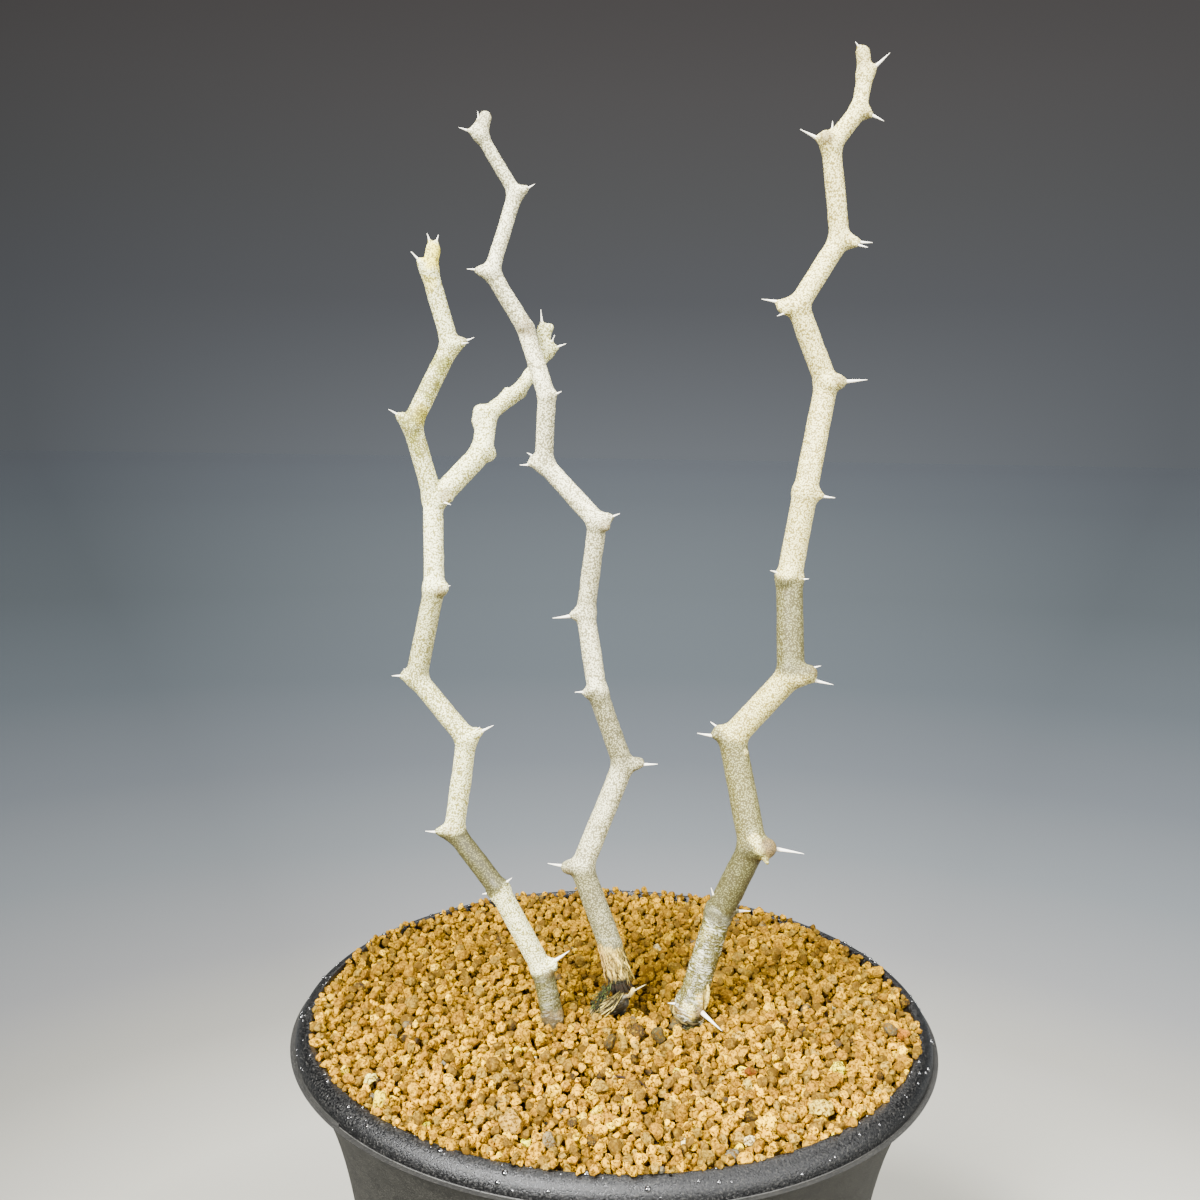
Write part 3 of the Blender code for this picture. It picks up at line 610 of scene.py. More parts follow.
def ball(subdivisions):
    """A sphere of radius one, as points and triangles."""
    shape = bmesh.new()
    bmesh.ops.create_icosphere(shape, subdivisions=subdivisions, radius=1.0)
    points = np.array([vertex.co for vertex in shape.verts])
    faces = np.array([[vertex.index for vertex in face.verts] for face in shape.faces])
    shape.free()
    return points, faces


def facing(direction):
    """The turn that brings the upward axis to a direction."""
    return np.array(Vector(direction).to_track_quat("Z", "Y").to_matrix())


def ring_strips(start, sides, rings):
    """Triangles between rings of points that follow each other, from this point on."""
    here = np.arange(sides)
    after = (here + 1) % sides
    faces = []
    for low in range(start, start + (rings - 1) * sides, sides):
        high = low + sides
        faces.append(np.stack((low + here, low + after, high + after), axis=1))
        faces.append(np.stack((low + here, high + after, high + here), axis=1))
    return np.concatenate(faces)


def fan(tip, ring):
    """Triangles from one point to a ring of points."""
    return np.stack((np.full(len(ring), tip), ring, np.roll(ring, -1)), axis=1)


def joined(shapes):
    """Several shapes as one, each given as points, faces and, if need be, a value for each point."""
    columns = list(zip(*shapes))
    starts = np.cumsum([0] + [len(points) for points in columns[0][:-1]])
    columns[1] = [faces + start for faces, start in zip(columns[1], starts)]
    return [np.concatenate(column) for column in columns]


def new_object(name, data):
    """An object in the scene."""
    made = bpy.data.objects.new(name, data)
    bpy.context.scene.collection.objects.link(made)
    return made


def mesh_object(name, points, faces, finish):
    """A smooth-shaded object in metres from points in millimetres and faces of one kind."""
    mesh = bpy.data.meshes.new(name)
    mesh.vertices.add(len(points))
    mesh.vertices.foreach_set("co", (np.asarray(points, float) * MM).ravel())
    mesh.loops.add(faces.size)
    mesh.loops.foreach_set("vertex_index", faces.astype(np.int32).ravel())
    mesh.polygons.add(len(faces))
    mesh.polygons.foreach_set("loop_start", np.arange(0, faces.size, faces.shape[1], dtype=np.int32))
    mesh.update(calc_edges=True)
    mesh.validate()
    mesh.shade_smooth()
    mesh.materials.append(finish)
    return new_object(name, mesh)


def mesh_from(body, name):
    """A mesh from a finished bmesh."""
    mesh = bpy.data.meshes.new(name)
    body.to_mesh(mesh)
    body.free()
    return mesh


def modified_mesh(item, kind, **settings):
    """The item's mesh after one modifier."""
    modifier = item.modifiers.new("change", kind)
    for name, value in settings.items():
        setattr(modifier, name, value)
    bpy.context.view_layer.update()
    result = bpy.data.meshes.new_from_object(item.evaluated_get(bpy.context.evaluated_depsgraph_get()))
    item.modifiers.clear()
    return result


def store(item, name, values, kind="FLOAT"):
    """Keep a number, a colour or a vector for each vertex."""
    values = np.asarray(values, np.float32)
    if kind == "FLOAT_COLOR":
        values = np.hstack((values, np.ones((len(values), 1), np.float32)))
    field = {"FLOAT": "value", "FLOAT_COLOR": "color", "FLOAT_VECTOR": "vector"}[kind]
    item.data.attributes.new(name, kind, "POINT").data.foreach_set(field, values.ravel())


def mesh_edges(item):
    """Pairs of joined vertices."""
    edges = np.zeros(len(item.data.edges) * 2, np.int32)
    item.data.edges.foreach_get("vertices", edges)
    return edges.reshape(-1, 2)


def place_piece(item, slot, *replaced):
    """Make a piece ride on the part and stand for the nodes it replaces, which it hides; the slot is not
    used.
    """
    if replaced:
        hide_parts(*replaced)
    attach(item, "root")


def coloured_piece(name, shapes, finish, slot):
    """One piece of many shapes, each given as points, faces and a colour."""
    rows = [(points, faces, np.tile(colour, (len(points), 1))) for points, faces, colour in shapes]
    points, faces, colours = joined(rows)
    made = mesh_object(name, points, faces, finish)
    store(made, "own_colour", colours, "FLOAT_COLOR")
    place_piece(made, slot)
    return made


class Shader:
    """A node tree under construction."""

    def __init__(self, tree, coordinates="Object"):
        self.tree = tree
        self.coordinates = self.node("TexCoord").outputs[coordinates]

    def link(self, source, target):
        """Feed a node's output, a colour or a plain value into an input."""
        if isinstance(source, bpy.types.NodeSocket):
            self.tree.links.new(source, target)
        else:
            target.default_value = (*source, 1.0) if target.type == "RGBA" else source

    def node(self, kind, inputs=None, **settings):
        """A node with its settings, and its inputs fed by name or number."""
        made = self.tree.nodes.new("ShaderNode" + kind)
        for name, value in settings.items():
            setattr(made, name, value)
        for place, source in (inputs or {}).items():
            self.link(source, made.inputs[place])
        return made

    def stretched(self, scale):
        """Coordinates squeezed along the axes."""
        return self.node("Mapping", {"Vector": self.coordinates, "Scale": scale}).outputs["Vector"]

    def noise(self, size_mm, detail=3.0, roughness=0.55, coordinates=None):
        """Cloudy noise whose cells are about this many millimetres."""
        inputs = {"Vector": coordinates or self.coordinates, "Scale": 1.0 / (size_mm * MM)}
        inputs.update({"Detail": detail, "Roughness": roughness})
        return self.node("TexNoise", inputs).outputs["Fac"]

    def cells(self, size_mm):
        """Distance to the nearest of many scattered points."""
        inputs = {"Vector": self.coordinates, "Scale": 1.0 / (size_mm * MM)}
        return self.node("TexVoronoi", inputs).outputs["Distance"]

    def ramp(self, source, low, high, first=0.0, last=1.0, interpolation="SMOOTHSTEP"):
        """The first value at the low mark, the last at the high one, and smooth between."""
        inputs = {"Value": source, "From Min": min(low, high), "From Max": max(low, high)}
        ends = (first, last) if low < high else (last, first)
        inputs.update({"To Min": ends[0], "To Max": ends[1]})
        return self.node("MapRange", inputs, interpolation_type=interpolation).outputs["Result"]

    def math(self, operation, *terms):
        """One sum of two or three numbers."""
        return self.node("Math", dict(enumerate(terms)), operation=operation).outputs[0]

    def plus(self, first, second):
        """The sum of two numbers."""
        return self.math("ADD", first, second)

    def minus(self, first, second):
        """The difference of two numbers."""
        return self.math("SUBTRACT", first, second)

    def times(self, first, second):
        """The product of two numbers."""
        return self.math("MULTIPLY", first, second)

    def stored(self, name, output="Fac"):
        """A number, colour or vector kept on the vertices."""
        return self.node("Attribute", attribute_name=name).outputs[output]

    def mix(self, factor, first, second, blend="MIX"):
        """One colour laid over another."""
        inputs = {"Factor": factor, 6: first, 7: second}
        return self.node("Mix", inputs, data_type="RGBA", blend_type=blend).outputs[2]

    def tint(self, factor, first, second):
        """One colour multiplied by another."""
        return self.mix(factor, first, second, "MULTIPLY")

    def mix_number(self, factor, first, second):
        """One number laid over another."""
        return self.node("Mix", {0: factor, 2: first, 3: second}).outputs[0]

    def bump(self, height, strength, distance_mm, onto=None):
        """Relief from a height, on top of an earlier relief."""
        inputs = {"Height": height, "Strength": strength, "Distance": distance_mm * MM}
        if onto is not None:
            inputs["Normal"] = onto
        return self.node("Bump", inputs).outputs["Normal"]


class Finish(Shader):
    """A material under construction."""

    def __init__(self, name):
        self.material = bpy.data.materials.new(name)
        self.material.use_nodes = True
        super().__init__(self.material.node_tree)
        self.surface = self.tree.nodes["Principled BSDF"]

    def done(self, colour, roughness, normal=None, specular=0.5):
        """Connect the surface and return the material."""
        inputs = {"Base Color": colour, "Roughness": roughness, "Specular IOR Level": specular}
        if normal is not None:
            inputs["Normal"] = normal
        for place, source in inputs.items():
            self.link(source, self.surface.inputs[place])
        return self.material


def fleck_pattern(shader, olive, fine, waxy):
    """High where a fleck lies: there are fewer on wax and more on green bark."""
    pattern = shader.plus(shader.cells(FLECK_SIZE), shader.times(shader.minus(fine, 0.5), 0.3))
    pattern = shader.minus(pattern, shader.times(waxy, 0.10))
    return shader.plus(pattern, shader.times(olive, 0.12))


def stained_colour(shader, clean, fine):
    """The bark's colour under its straw, golden, tan and dark stains: rot, and painted shadow under the
    right stem's foot.
    """
    fibres = shader.noise(0.4, 3.0, 0.6, shader.stretched((2.2, 2.2, 0.35)))
    straw_tone = shader.mix(shader.ramp(fibres, 0.36, 0.6), *STRAW_TONES)
    tan_tone = shader.mix(shader.ramp(fine, 0.4, 0.6), *TAN_TONES)
    colour = shader.mix(shader.stored("straw"), clean, straw_tone)
    colour = shader.tint(shader.stored("gold"), colour, GOLD_TINT)
    colour = shader.mix(shader.stored("tan"), colour, tan_tone)
    return shader.mix(shader.stored("dark"), colour, ROT_AND_SHADE_TONE)


def bark_material(name, fleck):
    """Waxy bark, thickly dotted with dark flecks; its ground colour and stains are kept on the vertices."""
    shader = Finish(name)
    olive = shader.stored("olive")
    gloss = shader.stored("gloss")
    fine = shader.noise(0.2, 1.0, 0.5)
    coarse = shader.noise(2.4)
    waxy = shader.plus(shader.stored("wax"), shader.times(shader.minus(coarse, 0.5), 0.9))
    cloud = shader.mix(shader.ramp(coarse, 0.32, 0.68), CLOUD_TINT, (1.0, 1.0, 1.0))
    base = shader.tint(1.0, shader.stored("ground", "Color"), cloud)
    pattern = fleck_pattern(shader, olive, fine, waxy)
    pale_fleck = [PALE_FLECK_GAIN * channel for channel in fleck]
    fleck_tint = shader.mix(shader.ramp(waxy, 0.5, 1.2), fleck, pale_fleck)
    dotted = shader.mix(shader.ramp(pattern, 0.32, 0.52), base, shader.tint(1.0, base, fleck_tint))
    green = shader.times(shader.times(olive, shader.ramp(coarse, 0.25, 0.6)), 0.85)
    stained = stained_colour(shader, shader.tint(green, dotted, OLIVE_TINT), fine)
    wrinkles = shader.noise(0.8, 3.0, 0.6, shader.stored("wrinkle_place", "Vector"))
    # Pale specks on the glossy foot are painted glints that stand in for its shine
    glint_share = shader.times(gloss, shader.ramp(coarse, 0.44, 0.60, 0.0, 0.75))
    painted_glints = shader.times(shader.ramp(wrinkles, 0.48, 0.66), glint_share)
    ripple = shader.plus(0.4, shader.times(gloss, 2.4))
    relief = shader.bump(shader.times(wrinkles, ripple), 0.55, 0.24)
    relief = shader.bump(shader.minus(1.0, pattern), 0.3, 0.05, relief)
    roughness = shader.minus(0.6, shader.times(gloss, 0.36))
    return shader.done(shader.mix(painted_glints, stained, GLINT_TONE), roughness, relief, 0.45)


def spine_material():
    """Ivory spines, a little pink at the base."""
    shader = Finish("spine_ivory")
    streaks = shader.noise(0.5, 2.0)
    ivory = shader.mix(shader.ramp(shader.stored("along"), 0.05, 0.5), *SPINE_TONES)
    colour = shader.mix(shader.times(streaks, 0.2), ivory, SPINE_STREAK)
    return shader.done(colour, 0.4, shader.bump(streaks, 0.2, 0.05), 0.5)


def strand_material():
    """Dry fibres, moss and rootlets, each with its own colour."""
    shader = Finish("dry_strands")
    streaks = shader.noise(0.4, 3.0, 0.6)
    own_colour = shader.stored("own_colour", "Color")
    colour = shader.mix(shader.ramp(streaks, 0.55, 0.3), own_colour, STRAND_STREAK)
    return shader.done(colour, 0.8, shader.bump(streaks, 0.4, 0.08), 0.2)


def grain_material():
    """Porous fired-clay granules, each with its own colour, a crumbly surface and painted highlights on its
    crumbs.
    """
    shader = Finish("granule_clay")
    crumbs = shader.noise(0.5, 4.0, 0.7)
    stains = shader.noise(1.1)
    # The low crumbs take a dark colour: partly the clay's pores, partly painted shade in the hollows
    pores_and_shade = shader.mix(shader.ramp(crumbs, 0.55, 0.41), shader.stored("own_colour", "Color"), CLAY_PORE_AND_SHADE)
    golden = shader.mix(shader.times(shader.ramp(stains, 0.5, 0.72), 0.3), pores_and_shade, CLAY_GOLD)
    # Bright specks on the raised crumbs are a painted highlight
    highlighted_crumbs = shader.mix(shader.times(shader.ramp(crumbs, 0.56, 0.7), 0.4), golden, CLAY_HIGHLIGHT)
    return shader.done(highlighted_crumbs, 0.95, shader.bump(crumbs, 1.0, 0.3), 0.03)


def bed_material():
    """The bed under the loose granules, dark: partly damp, partly painted shade for the gaps between them.
    """
    shader = Finish("granule_bed")
    lumps = shader.noise(1.3, 4.0)
    colour = shader.mix(shader.ramp(lumps, 0.35, 0.65), *BED_DAMP_AND_SHADE_TONES)
    return shader.done(colour, 0.95, shader.bump(lumps, 0.8, 0.5), 0.1)


def plastic_material(name, specular):
    """Recycled black plastic: fine speckle, dust on the wall, and a smoother rim with a painted highlight
    on its lip.
    """
    shader = Finish(name)
    rim_share = shader.stored("rim")
    grit = shader.noise(0.33, 3.0, 0.7)
    dust = shader.noise(4.5, 4.0, 0.6)
    wall = shader.mix(shader.ramp(dust, 0.3, 0.7), *WALL_TONES)
    speckled = shader.mix(shader.times(shader.ramp(grit, 0.50, 0.68), 0.75), wall, WALL_SPECKLE)
    rim = shader.mix(shader.ramp(grit, 0.54, 0.66), *RIM_TONES)
    # The lip's pale colour is a painted highlight along the lower edge of the roll
    lip = shader.mix(shader.ramp(dust, 0.3, 0.6), *LIP_HIGHLIGHT_TONES)
    colour = shader.mix(shader.stored("lip"), shader.mix(rim_share, speckled, rim), lip)
    roughness = shader.mix_number(rim_share, 0.68, shader.ramp(grit, 0.35, 0.65, 0.24, 0.5))
    relief = shader.bump(grit, shader.mix_number(rim_share, 1.0, 0.6), 0.22)
    return shader.done(colour, roughness, relief, specular)


def droplet_material():
    """Beads of water on the black rim: dark, with a bright glint."""
    shader = Finish("rim_droplets")
    shader.surface.inputs["IOR"].default_value = DROPLET_IOR
    return shader.done(shader.mix(shader.noise(1.0, 2.0), *DROPLET_TONES), 0.06, None, 1.0)


def outward_at(joints, index):
    """The outer side of the bend at a joint, or the mean direction of its spines."""
    if joints[index].spines:
        return unit(np.sum(np.array(joints[index].spines), axis=0))
    before, here, after = (vector_array(joint) for joint in joints[index - 1:index + 2])
    return unit(unit(here - before) - unit(after - here))


def stem_bones(joints, buried):
    """Rounded cones along the internodes, and a knuckle on the outer side of each bend."""
    bones = []
    if buried:
        low = np.array((joints[0].x, joints[0].y, BURIED_LEVEL))
        radius = joints[0].width / 2.0
        bones.append(Bone(low, vector_array(joints[0]), radius, radius, BONE_BLEND))
    for joint, following in zip(joints, joints[1:]):
        radius = joint.width / 2.0
        start, end = vector_array(joint), vector_array(following)
        bones.append(Bone(start, end, radius, radius * BONE_TAPER, BONE_BLEND))
    for index in range(1, len(joints) - 1):
        joint = joints[index]
        if joint.knuckle > 0.0:
            start = vector_array(joint)
            radius = (joints[index - 1].width + joint.width) / 4.0
            reach = radius * KNUCKLE_REACH + joint.knuckle * KNUCKLE_REACH
            end = start + outward_at(joints, index) * reach
            bones.append(Bone(start, end, radius, radius * KNUCKLE_TAPER, KNUCKLE_BLEND))
    return bones


def joint_spines(joint):
    """The reaches of a joint's spines, with a partner towards the back where one stands alone."""
    reaches = [np.array(reach) for reach in joint.spines]
    if len(reaches) == 1:
        shown = reaches[0]
        backward = np.linalg.norm(shown) * HIDDEN_SPINE_BACK
        sideways, rise = shown[0] * HIDDEN_SPINE_SIDEWAYS, abs(shown[2]) * HIDDEN_SPINE_RISE
        reaches.append(np.array((sideways, backward, rise)))
    return reaches


def spine_root_radius(reach):
    """Thickness of a spine where it leaves the bark: long spines are stouter."""
    return min(SPINE_STOUTEST, SPINE_STOUTNESS * np.linalg.norm(reach) + SPINE_THINNEST)


def spine_flares(joints):
    """The swollen root of each spine."""
    bones = []
    for joint in joints:
        for reach in joint_spines(joint):
            start = vector_array(joint)
            direction = unit(reach)
            out = min(joint.width / 2.0 + joint.knuckle * 0.5 + 0.8, np.linalg.norm(reach) * FLARE_MOST)
            root = spine_root_radius(reach)
            ends = (start + direction * out * FLARE_START, start + direction * out)
            bones.append(Bone(*ends, root * FLARE_FOOT, root * FLARE_END, FLARE_BLEND))
    return bones


def bark_bones(stem):
    """Everything that shapes a stem's bark."""
    bones = []
    for order, joints in enumerate(stem.limbs):
        bones += stem_bones(joints, buried=order == 0)
    for joints in stem.limbs:
        bones += spine_flares(joints)
    for start, end, start_radius, end_radius in stem.lumps:
        bones.append(Bone(np.array(start), np.array(end), start_radius, end_radius, LUMP_BLEND))
    return bones


def bone_distance(points, bone):
    """Distance of points from the surface of one rounded cone."""
    run = bone.end - bone.start
    share = np.clip((points - bone.start) @ run / max(run @ run, 1e-9), 0.0, 1.0)
    nearest = bone.start + share[:, None] * run
    radius = bone.start_radius + share * (bone.end_radius - bone.start_radius)
    return np.linalg.norm(points - nearest, axis=1) - radius


def blended_distance(points, bones):
    """Distance from all the cones, run softly together."""
    total = bone_distance(points, bones[0])
    for bone in bones[1:]:
        other = bone_distance(points, bone)
        overlap = np.maximum(bone.blend - np.abs(total - other), 0.0) / bone.blend
        total = np.minimum(total, other) - overlap * overlap * bone.blend / 4.0
    return total


def capsule_mesh(bone, grow):
    """A rough capsule round a bone, as points and triangles."""
    points, faces = ball(3)
    upper = points[:, 2] >= 0.0
    radius = np.where(upper, bone.end_radius, bone.start_radius) + grow
    middle = np.where(upper[:, None], bone.end, bone.start)
    return middle + (points * radius[:, None]) @ facing(unit(bone.end - bone.start)).T, faces


def remeshed(points, faces, voxel):
    """One closed skin round overlapping capsules, as points and faces."""
    mesh = bpy.data.meshes.new("rough")
    mesh.from_pydata((points * MM).tolist(), [], faces.tolist())
    rough = new_object("rough", mesh)
    result = modified_mesh(rough, "REMESH", mode="VOXEL", voxel_size=voxel * MM)
    bpy.data.objects.remove(rough, do_unlink=True)
    found = np.zeros(len(result.vertices) * 3)
    result.vertices.foreach_get("co", found)
    skin = np.array([list(face.vertices) for face in result.polygons if len(face.vertices) == 4])
    bpy.data.meshes.remove(result)
    return found.reshape(-1, 3) / MM, skin


def gradient(points, bones, step=0.05):
    """Outward direction of the blended surface at each point."""
    shifts = np.eye(3) * step
    slopes = [
        blended_distance(points + shift, bones) - blended_distance(points - shift, bones)
        for shift in shifts
    ]
    slopes = np.array(slopes).T
    return slopes / np.maximum(np.linalg.norm(slopes, axis=1), 1e-9)[:, None]


def skin_of_bones(bones, voxel):
    """The blended surface as a fine mesh, with its outward directions."""
    points, faces = joined([capsule_mesh(bone, CAPSULE_MARGIN) for bone in bones])
    points, faces = remeshed(points, faces, voxel)
    for _ in range(SKIN_ROUNDS):
        outward = gradient(points, bones)
        points = points - outward * blended_distance(points, bones)[:, None]
    return points, faces, gradient(points, bones)


def neighbour_average(values, edges, rounds):
    """Values evened out along the mesh."""
    count = len(values)
    columns = values.reshape(count, -1)
    weight = 1.0 + np.bincount(edges.ravel(), minlength=count)
    for _ in range(rounds):
        total = columns.copy()
        for first, second in ((0, 1), (1, 0)):
            for column in range(columns.shape[1]):
                drawn = columns[edges[:, second], column]
                total[:, column] += np.bincount(edges[:, first], drawn, minlength=count)
        columns = total / weight[:, None]
    return columns.reshape(values.shape)


def internode_values(points, limbs):
    """The wax, the olive and the direction of each point's nearest internode."""
    values = []
    distances = []
    for joints in limbs:
        for joint, following in zip(joints, joints[1:]):
            start = vector_array(joint)
            end = vector_array(following)
            values.append((joint.wax, joint.olive, *unit(end - start)))
            distances.append(bone_distance(points, Bone(start, end, 1.0, 1.0, 1.0)))
    found = np.array(values)[np.argmin(distances, axis=0)]
    return found[:, 0], found[:, 1], found[:, 2:]


def stain_share(points, stains, seed):
    """How far each point is covered by some stains of one kind."""
    share = np.zeros(len(points))
    ragged = layered_noise(points / STAIN_RAGGEDNESS, seed) * STAIN_RAGGED_DEPTH
    for x, y, z, radius, strength in stains:
        distance = np.linalg.norm(points - np.array((x, y, z)), axis=1)
        cover = np.clip(1.0 + STAIN_EDGE - distance / radius - ragged, 0.0, STAIN_EDGE) / STAIN_EDGE
        share = np.maximum(share, cover * strength)
    return share


def collar_shares(points):
    """How far each point lies in the straw collar, and in the dark foot under it."""
    ragged = layered_noise(points * np.array((1.1, 1.1, 0.3)), 41) * 0.9
    level = points[:, 2]
    near = np.hypot(points[:, 0], points[:, 1] + 3.5) < 6.0
    straw = np.clip((COLLAR_TOP + ragged - level) / 0.5, 0.0, 1.0)
    straw *= np.clip((level - COLLAR_BOTTOM + 0.4) / 0.5, 0.0, 1.0)
    dark = np.clip((COLLAR_BOTTOM - level) / 0.6, 0.0, 1.0) * (points[:, 1] > -5.6)
    return straw * near, dark * near


def stain_cover(stem, points):
    """How far each point is covered by each kind of stain."""
    cover = {kind: stain_share(points, stem.stains.get(kind, ()), stem.seed) for kind in STAIN_KINDS}
    if stem.name == "middle":
        straw, dark = collar_shares(points)
        cover["straw"] = np.maximum(cover["straw"], straw)
        cover["dark"] = np.maximum(cover["dark"], dark)
    return cover


def bark_relief(points, wrinkle_place, gloss, seed):
    """Small dents and cross wrinkles of the bark, in millimetres."""
    dents = layered_noise(points / DENT_SIZE, seed) * DENT_DEPTH
    pits = layered_noise(points / PIT_SIZE, seed + 4, 2) * PIT_DEPTH
    depth = WRINKLE_DEPTH + GLOSSY_WRINKLE_DEPTH * gloss
    return dents + pits + value_noise(wrinkle_place * 0.8, seed + 9) * depth


def ground_colours(stem, wax):
    """Bark colour without flecks, from the stem's dull one to its bright one."""
    dull = np.log(np.array(stem.dull))
    bright = np.log(np.array(stem.bright))
    return np.exp(dull + (bright - dull) * np.clip(wax, 0.0, 1.0)[:, None])


def build_bark(stem):
    """One stem's bark, with its colours and stains kept on the vertices."""
    points, faces, outward = skin_of_bones(bark_bones(stem), BARK_VOXEL)
    wax, olive, axis = internode_values(points, stem.limbs)
    name = stem.name + "_bark"
    bark = mesh_object(name, points, faces, bark_material(name, stem.fleck))
    edges = mesh_edges(bark)
    axis = neighbour_average(axis, edges, 8)
    along = np.sum(points * axis, axis=1)[:, None] * axis
    wrinkle_place = points * 0.5 + along * 1.6
    gloss = np.clip((GLOSS_TOP - points[:, 2]) / GLOSS_FADE, 0.0, 1.0) * stem.gloss
    points = points + outward * bark_relief(points, wrinkle_place, gloss, stem.seed)[:, None]
    bark.data.vertices.foreach_set("co", (points * MM).ravel())
    bark.data.update()
    # Surfaces that face down get less wax and more olive: partly green growth, partly painted shade on the
    # undersides
    under = np.clip(-outward[:, 2], 0.0, 1.0)
    cover = stain_cover(stem, points)
    wax = np.maximum(neighbour_average(wax, edges, 6) - 0.3 * under, cover["wax"] * 1.3)
    olive = np.maximum(neighbour_average(olive, edges, 6) + 0.25 * under, cover["olive"])
    cover.update({"wax": wax, "olive": np.clip(olive, 0.0, 1.0), "gloss": gloss})
    for share, values in cover.items():
        store(bark, share, values)
    store(bark, "ground", ground_colours(stem, wax), "FLOAT_COLOR")
    store(bark, "wrinkle_place", wrinkle_place * MM, "FLOAT_VECTOR")
    place_piece(bark, stem.slot, stem.node)


def tube_mesh(path, radii, sides):
    """A closed tube along a path, as points, triangles and how far along each point is."""
    path = np.asarray(path, float)
    tangent = np.gradient(path, axis=0)
    tangent /= np.linalg.norm(tangent, axis=1)[:, None]
    upright = abs(unit(path[-1] - path[0])[2]) >= 0.8
    across = np.cross(np.array((1.0, 0.0, 0.0) if upright else (0.0, 0.0, 1.0)), tangent)
    across /= np.linalg.norm(across, axis=1)[:, None]
    upward = np.cross(tangent, across)
    angles = np.array(round_angles(sides))
    ring = np.cos(angles)[None, :, None] * across[:, None] + np.sin(angles)[None, :, None] * upward[:, None]
    points = path[:, None] + ring * np.asarray(radii, float)[:, None, None]
    points = np.concatenate((points.reshape(-1, 3), path[:1], path[-1:]))
    levels = len(path)
    here = np.arange(sides)
    foot = levels * sides
    ends = (fan(foot, here)[:, ::-1], fan(foot + 1, foot - sides + here))
    faces = np.concatenate((ring_strips(0, sides, levels), *ends))
    along = np.concatenate((np.repeat(np.linspace(0.0, 1.0, levels), sides), (0.0, 1.0)))
    return points, faces, along


def spine_shape(middle, reach, width, bend):
    """A slender, slightly bent spine from inside the bark to its tip."""
    share = np.linspace(0.0, 1.0, SPINE_LEVELS)
    root = middle + unit(reach) * width * SPINE_SINK
    path = root + share[:, None] * (middle + reach - root)
    path += np.sin(math.pi * share)[:, None] * np.array((0.0, 0.0, bend))
    radii = spine_root_radius(reach) * (1.0 - share) + SPINE_TIP
    return tube_mesh(path, radii, SPINE_SIDES)


def build_spines(stem):
    """All the spines of one stem as one piece."""
    shapes = []
    for joints in stem.limbs:
        for index, joint in enumerate(joints):
            for order, reach in enumerate(joint_spines(joint)):
                bend = SPINE_BEND_LEAST + SPINE_BEND_STEP * ((index + order) % 3)
                shapes.append(spine_shape(vector_array(joint), reach, joint.width, bend))
    points, faces, along = joined(shapes)
    spines = mesh_object(stem.name + "_spines", points, faces, spine_material())
    store(spines, "along", along)
    place_piece(spines, stem.slot)


def strand_piece(name, strands, slot):
    """Thin strands, each a (path, radii, colour), as one piece."""
    shapes = [(*tube_mesh(path, radii, STRAND_SIDES)[:2], colour) for path, radii, colour in strands]
    coloured_piece(name, shapes, strand_material(), slot)


def collar_point(level, angle, radius):
    """A point round the middle stem's base."""
    share = (level - COLLAR_BOTTOM) / (COLLAR_TOP - COLLAR_BOTTOM)
    centre = np.array(COLLAR_BOTTOM_CENTRE) * (1.0 - share) + np.array(COLLAR_TOP_CENTRE) * share
    x, y, _ = round_point(radius, angle, level)
    return centre[0] + x, centre[1] + y, level


def collar_strips(rng):
    """Splayed straw strips round the middle stem's base, duller on the left."""
    strands = []
    for strip in range(COLLAR_STRIPS):
        angle = 2.0 * math.pi * (strip + rng.uniform(-0.3, 0.3)) / COLLAR_STRIPS
        top = COLLAR_TOP + rng.uniform(-2.6, 0.5)
        bottom = COLLAR_BOTTOM + rng.uniform(-1.6, 1.8)
        splay = 0.9 * rng.random() ** 2
        leftward = 0.5 - 0.5 * math.cos(angle)
        path = []
        for share in np.linspace(0.0, 1.0, len(STRIP_THICKNESS)):
            radius = COLLAR_RADIUS - 0.1 + 0.16 * math.sin(9.0 * share + strip) + splay * share ** 2
            sway = 0.2 * math.sin(5.0 * share + strip)
            path.append(collar_point(top + (bottom - top) * share, angle + sway, radius))
        thick = rng.uniform(0.07, 0.2)
        tone = np.array(STRAW_BRIGHT) * (1.0 - leftward) + np.array(STRAW_DULL) * leftward
        strands.append((path, thick * np.array(STRIP_THICKNESS), tone * rng.choice(STRIP_SHADES)))
    return strands


def dark_fibres(rng):
    """Rotten fibres that hang under the collar in front."""
    strands = []
    for fibre in range(DARK_FIBRES):
        angle = -math.pi * (fibre + rng.uniform(0.0, 0.8)) / DARK_FIBRES
        lean = rng.uniform(0.4, 1.6)
        path = []
        for share in np.linspace(0.0, 1.0, len(FIBRE_RADII)):
            height = COLLAR_BOTTOM + 0.8 - 4.2 * share
            path.append(collar_point(height, angle + 0.3 * share, 1.3 + lean * share))
        strands.append((path, FIBRE_RADII, DARK_FIBRE_COLOUR))
    return strands


def stub_fibres(rng):
    """Frayed fibres over the dead stub before the middle stem."""
    strands = []
    for fibre in range(STUB_FIBRES):
        share = fibre / STUB_FIBRES
        middle = np.array((1.6 - 1.6 * share, -6.3 - 0.6 * share, 134.2 - 0.8 * share))
        high = middle + rng.normal(0.0, 0.25, 3)
        low = np.array((-1.2 - 3.2 * share, -8.3, 131.6 - 0.9 * share)) + rng.normal(0.0, 0.6, 3)
        middle = (low + high) / 2.0 + np.array((0.0, -0.7, 0.35)) + rng.normal(0.0, 0.3, 3)
        tone = np.array(STUB_COLOUR) * rng.choice(STUB_SHADES)
        strands.append(((low, middle, high), STUB_RADII, tone))
    return strands


